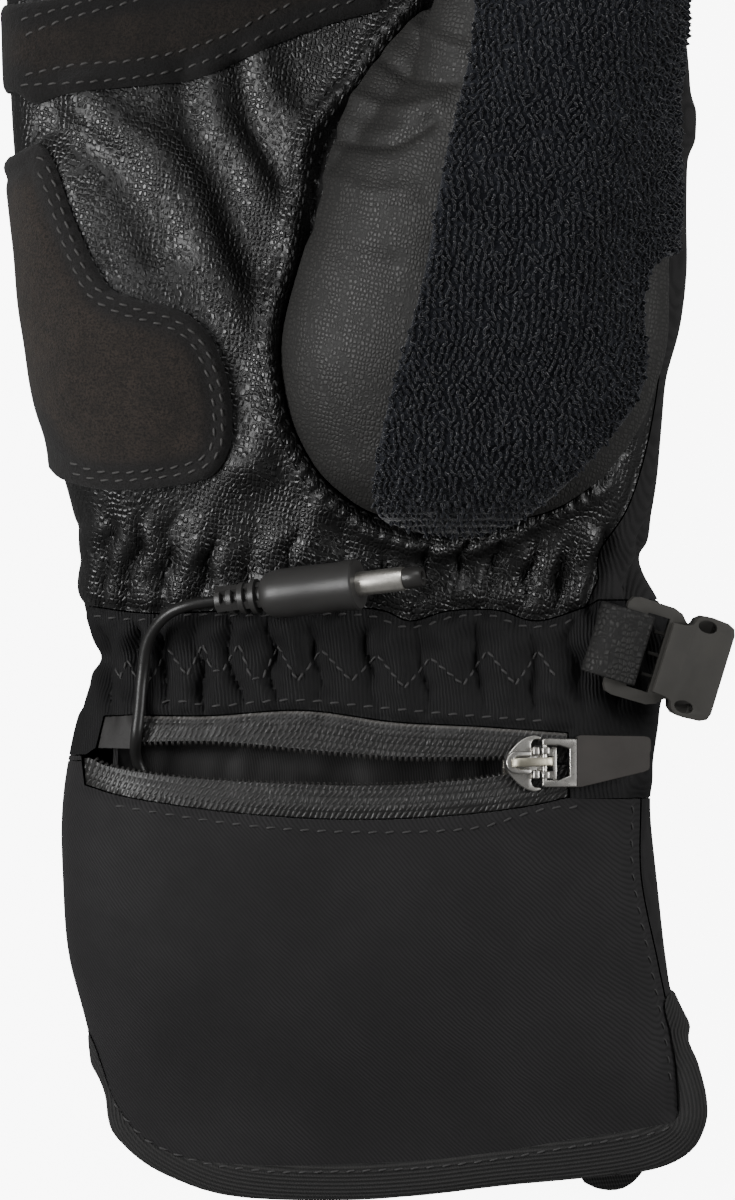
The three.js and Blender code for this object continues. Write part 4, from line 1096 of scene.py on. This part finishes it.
dress(palm, "leather")
dress(back, "side_cloth")
dress(wrist, "wrist_cloth")
dress(pocket, "softshell")
dress(gauntlet, "side_cloth")
dress(outer, "thumb_leather")
dress(cloth_patch, "terry")
for name, *_ in FINGERS:
    dress(bpy.data.objects["finger_" + name + "_glove"], "leather")
# The lower tape's edge mark starts 2.9 mm out, which keeps the painted highlight off its edge.
for name, line, hidden in (("tape_upper", tape_top, 0), ("tape_lower", tape_bottom, 2.9)):
    tape, points = drawn(name)
    mark(tape, "edge", away(points[:, :2], line) + hidden)
    dress(tape, "tape")
dress(bpy.data.objects["tape_end"], "tape_end")
binding, points = drawn("cuff_elastic")
mark(binding, "rib", away(points[:, :2], hem[::2]) + points[:, 2] * 0.35)
dress(binding, "elastic")
for name, outline, finish in (("heel_suede", heel_patch, "heel_suede"),
                              ("knuckle_suede", band, "band_suede")):
    patch, points = drawn(name)
    mark(patch, "middle", eased(depth_inside(points[:, :2], outline[::2]), 4, 7.5))
    dress(patch, finish)


# Stitches

def threads(name, centres, radii, sides):
    """Many short threads, each through its own row of points, in one mesh"""
    centres = np.asarray(centres, float)
    count, stations = centres.shape[:2]
    tangent = np.gradient(centres, axis=1)
    tangent /= np.maximum(np.linalg.norm(tangent, axis=2), 1e-9)[..., None]
    across = np.cross(tangent, (0.03, 0.02, 1))
    across /= np.maximum(np.linalg.norm(across, axis=2), 1e-9)[..., None]
    over = np.cross(across, tangent)
    turn = 2 * math.pi * np.arange(sides) / sides
    radii = np.asarray(radii)[None, :, None, None]
    points = (centres[:, :, None] + radii * (across[:, :, None] * np.cos(turn)[None, None, :, None]
                                             + over[:, :, None] * np.sin(turn)[None, None, :, None]))
    i = np.arange(sides)
    j = (i + 1) % sides
    last = (stations - 1) * sides
    quads = [np.stack([k * sides + i, k * sides + j, (k + 1) * sides + j, (k + 1) * sides + i], 1)
             for k in range(stations - 1)]
    for k in range(1, sides - 2, 2):
        quads.append([[0, sides - k, sides - k - 1, sides - k - 2] if sides > 4 else [3, 2, 1, 0],
                      [last, last + k, last + k + 1, last + k + 2]])
    quads = np.vstack(quads)
    each = (np.arange(count) * stations * sides)[:, None, None] + quads[None]
    return new_mesh(name, points.reshape(-1, 3), each.reshape(-1, 4))


def lengths_along(line):
    """How far along a line each of its points lies"""
    return np.concatenate([[0], np.cumsum(np.linalg.norm(np.diff(line, axis=0), axis=1))])


def at_lengths(line, lengths):
    along = lengths_along(line)
    return np.stack([np.interp(lengths, along, line[:, k]) for k in range(line.shape[1])], 1)


# A stitch has four points: how far along and aside they lie as shares of its length, their lift and radii
DOWN = Vector((0, 0, -1))
STITCH_ALONG = np.array((0, 0.28, 0.72, 1))
STITCH_ASIDE = 0.16 * np.array((-0.5, -0.25, 0.25, 0.5))
STITCH_LIFT = (-0.32, 0.14, 0.14, -0.32)
STITCH_RADII = 0.25 * np.array((0.55, 1, 1, 0.55))


def stitches(line, under, pitch, length):
    """Slanting stitches along a line seen from above, laid on the surface under it"""
    found = []
    for k in range(int((lengths_along(line)[-1] - length) / pitch) + 1):
        places = at_lengths(line, k * pitch + STITCH_ALONG * length)
        heading = places[3] - places[0]
        places += np.array((-heading[1], heading[0])) * STITCH_ASIDE[:, None]
        row = []
        for (x, y), lift in zip(places, STITCH_LIFT):
            hit, normal, *_ = under.ray_cast(Vector((x, y, HIGH)), DOWN)
            if hit is None or normal.z < 0.2:
                break
            row.append(hit + normal * lift)
        if len(row) == 4:
            found.append(row)
    return found


# Each kind of row: the surface that it lies on, its pitch, the length of a stitch, and its thread
bare = hand.tree(0)
ROW_KINDS = {
    "welt": (bare, 2.7, 1.7, "black_thread"),
    "leather_lap": (bare, 3.1, 1.9, "cloth_thread"),
    "pocket": (bare, 3.4, 2.1, "cloth_thread"),
    "binding": (hand.tree(BINDING_OVER - rounding), 3.2, 1.9, "cloth_thread"),
    "heel": (hand.tree(patch_rise["heel_suede"]), 2.95, 1.9, "thread"),
    "band": (hand.tree(patch_rise["knuckle_suede"]), 2.85, 1.9, "thread"),
}
for name, (under, pitch, length, finish) in ROW_KINDS.items():
    laid = [s for line in STITCH_ROWS[name] for s in stitches(smooth_line(line), under, pitch, length)]
    dress(place(threads("stitches_" + name, laid, STITCH_RADII, 6)), finish, 80)


ZIGZAG_PITCH = 2.3


def zigzag(name, line, finish):
    """Whole stitches along each leg of a zigzag"""
    laid = []
    for a, b in zip(line[:-1], line[1:]):
        leg = math.dist(a, b)
        count = max(1, round(leg / ZIGZAG_PITCH))
        laid += stitches(np.array((a, b)), bare, leg / count, leg / count * 0.82)
    dress(place(threads(name, laid, STITCH_RADII, 6)), finish, 80)


zigzag("stitches_cuff_zigzag", ZIGZAG, "cloth_thread")
zigzag("stitches_palm_zigzag", LEATHER_ZIGZAG, "black_thread")

# Terry loops, in columns over the thumb's patch
LOOP = {"row": 1.2, "pitch": 1.28, "height": 0.8, "half": 0.45, "radius": 0.27, "stray": 0.16}
rng = np.random.default_rng(11)
towel = thumb.tree(terry_rise)
spots, normals = [], []
for y in np.arange(128, 276, LOOP["row"]):
    left, right, low, top = section(THUMB, max(y, THUMB[0][0]))
    heart = Vector(((left + right) / 2, y, (low + top) / 2))
    hits, turned = [], []
    for turn in np.linspace(-0.5, math.pi, 200):
        hit, normal, *_ = towel.ray_cast(heart, Vector((math.cos(turn), 0, math.sin(turn))))
        if hit is not None:
            hits.append(tuple(hit))
            turned.append(tuple(normal))
    if len(hits) < 20:
        continue
    hits, turned = np.array(hits), np.array(turned)
    lengths = np.arange(0.3, lengths_along(hits)[-1], LOOP["pitch"])
    spots.append(at_lengths(hits, lengths))
    index = np.interp(lengths, lengths_along(hits), np.arange(len(hits)))
    normals.append(turned[np.round(index).astype(int)])
spots, normals = np.vstack(spots), np.vstack(normals)
spots += rng.normal(0, LOOP["stray"], spots.shape) * (1, 1, 0)
keep = inside(spots[:, :2], grown(terry, -0.4)) & (spots[:, 2] > 41)
spots, normals = spots[keep], normals[keep]
count = len(spots)
turn = rng.normal(0, 0.5, count)[:, None]
down_column = np.cross(normals, (1, 0, 0.2))
down_column /= np.maximum(np.linalg.norm(down_column, axis=1), 1e-6)[:, None]
way = down_column * np.cos(turn) + np.cross(normals, down_column) * np.sin(turn)
lean = rng.normal(0, 0.2, (count, 3))
height = LOOP["height"] * rng.uniform(0.75, 1.2, (count, 1))
half = LOOP["half"] * rng.uniform(0.8, 1.25, (count, 1))
centres = np.stack([
    spots - way * half * 0.7 - normals * 0.35,
    spots - way * half + normals * height * 0.5 + lean * 0.5,
    spots + normals * height + lean,
    spots + way * half + normals * height * 0.5 + lean * 0.5,
    spots + way * half * 0.7 - normals * 0.35,
], 1)
lower = spots[:, 1] < np.median(spots[:, 1])
for name, part in (("terry_loops_lower", lower), ("terry_loops_upper", ~lower)):
    dress(place(threads(name, centres[part], np.full(5, LOOP["radius"]), 4)), "terry", 180)


# Battery pocket's lining: a bag of thin cloth behind the zip

def hand_height(x, y):
    """The height of the front of the hand, from its own sections"""
    left, right, top, square = section(HAND, y)
    share = np.clip(np.abs(x - (left + right) / 2) / ((right - left) / 2), 0, 1)
    level, rise = (top - FLAT) / 2, (top + FLAT) / 2
    return level + rise * (1 - share ** square) ** (1 / square) + palm_rise(x, y)


STEP = 1.25
pocket_outline = grown(POCKET, LINING)
gx, gy = np.meshgrid(np.arange(-54, 50, STEP), np.arange(10, 92, STEP), indexing="ij")
grid = np.stack([gx.ravel(), gy.ravel()], 1)
deep = depth_inside(grid, pocket_outline)
flat_grid = np.column_stack([grid, np.zeros(len(grid))])
slack = (wander(flat_grid, 15, 21) * 1.1 + wander(flat_grid * (1, 0.5, 1), 6, 22) * 0.3) * eased(deep, 3, 9)
drop = WALL + GAP + (POCKET_DEPTH + 0.1) * eased(deep, 0.2, 4.5) - np.clip(slack, -0.8, 2)
rows, cols = gx.shape
i, j = np.meshgrid(np.arange(rows - 1), np.arange(cols - 1), indexing="ij")
first = (i * cols + j).ravel()
corners = np.stack([first, first + cols, first + cols + 1, first + 1], 1)
bag = Skin(np.column_stack([grid, hand_height(grid[:, 0], grid[:, 1]) - drop]),
           corners[(deep[corners] > -STEP).all(1)])
lining = bag.shell("pocket_cloth", np.ones(len(bag.quads), bool), 0, -LINING * 0.6)
cut(lining, prism(pocket_outline, 0, HIGH), "INTERSECT")
dress(place(lining, replaces=["pocket_lining"]), "lining")


# Hard pieces: a primitive, shaped in edit mode

QUARTER = {axis: Matrix.Rotation(math.pi / 2, 4, axis) for axis in "XYZ"}


def filled_ring(name, count, radius):
    bpy.ops.object.select_all(action="DESELECT")
    bpy.ops.mesh.primitive_circle_add(vertices=count, radius=radius, fill_type="NGON", location=(0, 0, 0))
    obj = bpy.context.active_object
    obj.name = name
    return obj


def start_editing():
    bpy.ops.object.mode_set(mode="EDIT")
    bpy.ops.mesh.select_all(action="SELECT")


def extrude(rise):
    bpy.ops.mesh.extrude_region_move(TRANSFORM_OT_translate={"value": (0, 0, rise)})


def done_editing(obj):
    bpy.ops.mesh.select_all(action="SELECT")
    bpy.ops.mesh.normals_make_consistent(inside=False)
    bpy.ops.object.mode_set(mode="OBJECT")
    obj.select_set(False)
    return obj


def plate(name, outline, low, high):
    """A flat piece: a filled ring of points, set on its outline and extruded"""
    obj = filled_ring(name, len(outline), 1)
    for vertex, (x, y) in zip(obj.data.vertices, outline):
        vertex.co = (x, y, low)
    start_editing()
    extrude(high - low)
    return done_editing(obj)


def turned_piece(name, profile, sides):
    """A turned piece along X: a ring, extruded and resized from station to station"""
    (start, radius), *rest = profile
    obj = filled_ring(name, sides, radius)
    start_editing()
    bpy.ops.transform.translate(value=(0, 0, start))
    for along, wide in rest:
        extrude(along - start)
        scale = wide / radius
        bpy.ops.transform.resize(value=(scale, scale, 1), center_override=(0, 0, along))
        start, radius = along, wide
    done_editing(obj).data.transform(QUARTER["Y"])
    return obj


def rounded(obj, width, segments=3, angle=35):
    modifier = obj.modifiers.new("edges", "BEVEL")
    modifier.width = width
    modifier.segments = segments
    modifier.limit_method = "ANGLE"
    modifier.angle_limit = math.radians(angle)
    apply_all(obj)
    return obj


def mirrored(outline):
    return outline + [(x, -y) for x, y in reversed(outline) if y != 0]


def span(middle, half):
    return middle - half, middle + half


def seat(obj, turn, finish, body="glove", replaces=(), angle=40):
    """Puts a hard piece in its place on the glove, and dresses it."""
    obj.data.transform(turn)
    return dress(place(obj, body, replaces), finish, angle)


# Slider: crescent wings, a nose with two arms, the foot, ears for the pull's pins, its back, and the bar
WING = [
    (-4.95, 0), (-4.6, 1.2), (-3.6, 2.6), (-2.4, 3.9), (-1.1, 4.9), (0.3, 5.5), (1.4, 5.65), (2.6, 5.2),
    (2.4, 4.85), (1.2, 4.75), (0.6, 4.2), (0.5, 3.2), (1.2, 2.6), (2.6, 2.5), (2.6, 0),
]
wings = plate("slider_wings", mirrored(smooth_line(WING[:-2], 0.4).tolist() + [(2.6, 1.6)]), 0.3, 1.5)
rounded(wings, 0.35)
foot = plate("slider_foot", oblong(-4.6, 2.4, -3.4, 3.4), -2.7, -1.7)
cut(foot, plate("neck", oblong(-4.4, -2.6, -0.9, 0.9), -2.5, 1.2), "UNION")
NOSE = [
    (-5, 0), (-4.7, 1.2), (-3.9, 2), (-2.8, 2.3), (0.2, 2.3), (0.3, 1.25), (-2.6, 1.15), (-3.2, 0.8),
    (-3.4, 0),
]
nose = plate("slider_nose", mirrored(NOSE), 1.4, 2.9)
rounded(nose, 0.3)
for piece in (foot, nose, wings):
    seat(piece, ZIP_FRAME, "metal", replaces=["zip_slider"] if piece is wings else ())
for letter, way in zip("ab", (1, -1)):
    ear = plate("slider_ear_" + letter, oblong(0.6, 1.85, *span(way * 2.35, 0.85)), 1.4, 3)
    seat(rounded(ear, 0.25), ZIP_FRAME, "metal")
back_rib = plate("slider_back", oblong(4.95, 5.7, -3.3, 3.4), 0.4, 1.5)
for way in (1, -1):
    cut(back_rib, plate("arm", oblong(2.5, 5.2, *span(way * 2.25, 0.75)), 0.5, 1.4), "UNION")
seat(rounded(back_rib, 0.15, 2), ZIP_FRAME, "metal")
BAR = [
    (-3.9, 1.2), (-3.9, 3.3), (-3.2, 4.1), (-2.2, 4.4), (3.6, 4.4), (4.4, 4), (4.7, 3.2), (4.7, 1.2),
    (3.9, 1.2), (3.9, 3), (3.6, 3.4), (-2.6, 3.4), (-3.1, 3), (-3.1, 1.2),
]
bail = plate("slider_bar", BAR, -0.85, 0.85)
bail.data.transform(QUARTER["X"])
bail.data.transform(Matrix.Rotation(0.05, 4, "Z"))
seat(rounded(bail, 0.16, 2), ZIP_FRAME, "bar")

# Pull: frame with its window and pins, and the rubber tab that is moulded over its end
PULL = [(-0.5, -4.6), (0, -4.85), (7, -4.7), (7, 4.95), (0, 4.95), (-0.5, 4.7)]
WINDOW = [(-2, -3.5), (2.9, -3.4), (5.1, -2.5), (5.1, 3), (2.9, 3.6), (-2, 3.6)]
pull = plate("pull_frame", PULL, -0.6, 0.6)
cut(pull, plate("window", WINDOW, -2, 2), "DIFFERENCE")
seat(rounded(pull, 0.22), PULL_FRAME, "metal", "zip_pull", ["zip_pull_frame"])
pin = turned_piece("pull_pin", [(-3.9, 0.42), (-3.7, 0.5), (3.7, 0.5), (3.9, 0.42)], 20)
pin.data.transform(QUARTER["Z"])
seat(pin, PULL_FRAME, "metal", "zip_pull")
for letter, way in zip("ab", (1, -1)):
    knuckle = plate("pull_knuckle_" + letter, oblong(-0.55, 0.95, *span(way * 2.45, 0.8)), -0.55, 0.6)
    seat(rounded(knuckle, 0.3), PULL_FRAME, "metal", "zip_pull")
TAB = [
    (6.6, -4.75), (7.4, -4.75), (20.3, -1.5), (21.2, -1.1), (21.5, -0.5), (21.5, 2.5), (21.75, 2.8),
    (21.75, 5), (21.3, 5.5), (20.4, 5.7), (7.2, 5.65), (6.6, 5.4),
]
tab = plate("pull_tab", TAB, -0.9, 0.9)
cut(tab, plate("frame_room", oblong(5, 7.15, -5.2, 5.2), -0.62, 0.62), "DIFFERENCE")
seat(rounded(tab, 0.3), PULL_FRAME, "tab", "zip_pull", ["zip_pull_tab"])

# Zip coils along both edges of the opening
COIL_PITCH = 1.18
for name, line, way in (("coil_upper", teeth_above[:-2], -1), ("coil_lower", teeth_below[:-2], 1)):
    laid = []
    for s in np.arange(0.5, lengths_along(line)[-1] - 0.6, COIL_PITCH):
        a, b = at_lengths(line, np.array((s, s + 0.35)))
        heading = (b - a) / np.linalg.norm(b - a)
        out = np.array((-heading[1], heading[0], 0)) * way
        hit, normal, *_ = bare.ray_cast(Vector((*a, HIGH)), DOWN)
        up = np.array(normal)
        root = np.array(hit) - up * 1.3
        laid.append([root - out * 0.9, root + up * 0.2, root + out * 0.3, root - up * 0.45])
    dress(place(threads(name, laid, (0.3, 0.36, 0.36, 0.3), 6)), "coil", 80)

# Clip socket: frame with the strap's slot, and the hollow body with its scooped side openings
CLIP_EDGE = [
    (3.2, 8.6), (3.9, 9.8), (5.4, 10.2), (12.4, 10.1), (14.3, 9.4), (15.5, 8.1), (16.2, 7.7), (16.8, 8.1),
    (17.2, 9.3), (18.3, 10.2), (20, 10.45), (23.4, 10.2), (24.8, 9.5), (25.3, 8.2),
]
frame_edge = [(3.2, 0), *CLIP_EDGE[:6], (16.4, 7.6), (16.4, 0)]
body_edge = [(12.9, 0), (12.9, 7.2), (15.2, 7.4), *CLIP_EDGE[6:], (25.3, 0)]
clip_frame = plate("clip_frame", mirrored(frame_edge[1:-1]), -1.6, 1.6)
cut(clip_frame, plate("slot", oblong(7.6, 12.2, -7.7, 7.7), -3, 3), "DIFFERENCE")
clip_body = plate("clip_body", mirrored(body_edge[1:-1]), -4.2, 4.2)
cut(clip_body, plate("mouth", oblong(14.2, 30, -7.4, 7.4), -2.7, 2.7), "DIFFERENCE")
for way in (1, -1):
    scoop = [(19.6 + 2.0 * math.cos(t), way * (8.35 + 1.25 * math.sin(t)))
             for t in np.linspace(0, 2 * math.pi, 24, endpoint=False)]
    cut(clip_body, plate("scoop", scoop, 0, 6), "DIFFERENCE")
    y0, y1 = sorted((way * 6.6, way * 12))
    cut(clip_body, plate("side", oblong(17.2, 21.4, y0, y1), -2.7, 2.7), "DIFFERENCE")
cut(clip_frame, clip_body, "DIFFERENCE", keep_tool=True)
seat(rounded(clip_frame, 0.5), CLIP_FRAME, "plastic", replaces=["clip_socket"])
seat(rounded(clip_body, 0.42), CLIP_FRAME, "plastic")
for letter, y in zip("abc", (-4.4, 0, 4.4)):
    lug = plate("clip_lug_" + letter, oblong(9.9, 12.4, *span(y, 0.35)), -1.3, -0.1)
    seat(rounded(lug, 0.15), CLIP_FRAME, "plastic")
STRAP_LOOP = [
    (-1.6, -3.4), (7.9, -3.1), (8.8, -2.7), (9.2, -1.9), (9.2, 1.9), (8.8, 2.7), (8, 3.1), (4, 3.15),
    (1.6, 2.6), (-0.4, 1.2), (-1.6, -0.8),
]
strap = plate("strap_leather_loop", STRAP_LOOP, -7.3, 7.3)
strap.data.transform(QUARTER["X"])
cut(strap, plate("bar_room", oblong(3.1, 7.9, -9, 9), -1.9, 1.9), "DIFFERENCE")
seat(rounded(strap, 0.45, 3, 25), CLIP_FRAME, "strap_leather", replaces=["clip_strap"])

# Plug: ribbed strain relief with its spine, body, nickel barrel and the insulating tip with its hole
RIB = [(0, -0.25), (0.2, 0), (1.25, 0.1), (1.45, -0.15), (1.55, -0.95), (2.4, -0.9)]
PLUG_BODY = [
    (10, 3.2), (10.3, 3.7), (11.3, 4.4), (12.6, 4.75), (15, 4.95), (20, 4.9), (26.5, 4.85), (28.4, 5.1),
    (29.8, 5.15), (30.2, 4.85),
]
ribs = [(k * 2.5 + along, 2.6 + 0.27 * k + wide) for k in range(4) for along, wide in RIB]
plug_body = turned_piece("plug_grip", ribs + PLUG_BODY, 56)
for number in range(4):
    spine = plate("spine", oblong(0.4, 10.6, -0.75, 0.75), 0, 2.9)
    spine.data.transform(Matrix.Rotation(number * math.pi / 2 + 0.6, 4, "X"))
    cut(plug_body, spine, "UNION")
seat(plug_body, PLUG_FRAME, "plug", replaces=["plug_body"], angle=35)
barrel = turned_piece("plug_sleeve", [(29.9, 2.2), (30, 2.4), (39.6, 2.4), (39.95, 2.25)], 48)
seat(barrel, PLUG_FRAME, "nickel", replaces=["plug_barrel"])
TIP = [(39.7, 1.9), (40.1, 2.1), (43.2, 2.1), (43.75, 1.8), (43.8, 1.15), (43.5, 0.95), (41.2, 0.9)]
tip = turned_piece("plug_end", TIP, 40)
seat(tip, PLUG_FRAME, "black", replaces=["plug_tip"])

# Lead, as one smooth curve from the grommet in the pocket to the plug
grommet = turned_piece("lead_bush", [(-2, 1.6), (-1.7, 2.05), (1.5, 2.05), (2, 1.5)], 28)
grommet.data.transform(Matrix.Translation(LEAD_BUSH) @ QUARTER["Z"])
dress(place(grommet, replaces=["lead_grommet"]), "lead")
route = smooth_line(LEAD_ROUTE, 1.2)
curve = bpy.data.curves.new("lead_cord", "CURVE")
curve.dimensions = "3D"
spline = curve.splines.new("POLY")
spline.points.add(len(route) - 1)
for point, spot in zip(spline.points, (route - BASE) * MM):
    point.co = (*spot, 1)
curve.bevel_depth = LEAD_RADIUS * MM
curve.bevel_resolution = 6
curve.use_fill_caps = True
lead = bpy.data.objects.new("lead_cord", curve)
bpy.context.scene.collection.objects.link(lead)
curve.materials.append(FINISHES["lead"])
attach(lead, "glove")
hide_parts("lead")
length = float(lengths_along(route)[-1]) * MM

# Camera, lights and floor
# The picture's height and middle, the level at which they hold, the lens and its film
PICTURE_TALL = 240
PICTURE_MIDDLE = 116
LEVEL = 45
LENS = 250
FILM = 36
camera = bpy.data.objects.new("camera", bpy.data.cameras.new("camera"))
bpy.context.scene.collection.objects.link(camera)
camera.data.lens = LENS
camera.data.sensor_width = FILM
camera.data.clip_end = 10
camera.location = (0.0001, (PICTURE_MIDDLE - BASE[1]) * MM, (LEVEL + PICTURE_TALL * LENS / FILM) * MM)
bpy.context.scene.camera = camera

floor = block(-900, 900, -900, 900, -3, -1)
floor.name = "floor"
floor.data.transform(Matrix.Scale(MM, 4))
floor.data.materials.append(Finish("paper").done(Base_Color=(0.92, 0.92, 0.92), Roughness=0.9,
                                                 Emission_Color=(1.0, 1.0, 1.0), Emission_Strength=8.0))
# The floor is lit from behind, as on a light table, but that light doesn't fall on the glove.
floor.visible_diffuse = floor.visible_glossy = False

# Three soft lamps, each with its place in metres, size and power, and the point that they face
LAMPS = {
    "left": ((-0.73, 0, 0.54), 0.42, 8.8), "right": ((0.8, 0.05, 0.42), 0.45, 5.4),
    "over": ((-0.12, 0.62, 0.76), 0.5, 2.8),
}
LAMPS_AIM = Vector((0, -0.04, 0.03))
for name, (at, size, power) in LAMPS.items():
    lamp = bpy.data.lights.new(name, "AREA")
    lamp.size = size
    lamp.energy = power
    holder = bpy.data.objects.new(name, lamp)
    bpy.context.scene.collection.objects.link(holder)
    holder.location = at
    holder.rotation_euler = (LAMPS_AIM - Vector(at)).to_track_quat("-Z", "Y").to_euler()
world = bpy.data.worlds.new("studio")
bpy.context.scene.world = world
world.use_nodes = True
background = world.node_tree.nodes["Background"]
background.inputs["Color"].default_value = (1, 1, 1, 1)
background.inputs["Strength"].default_value = 0.15
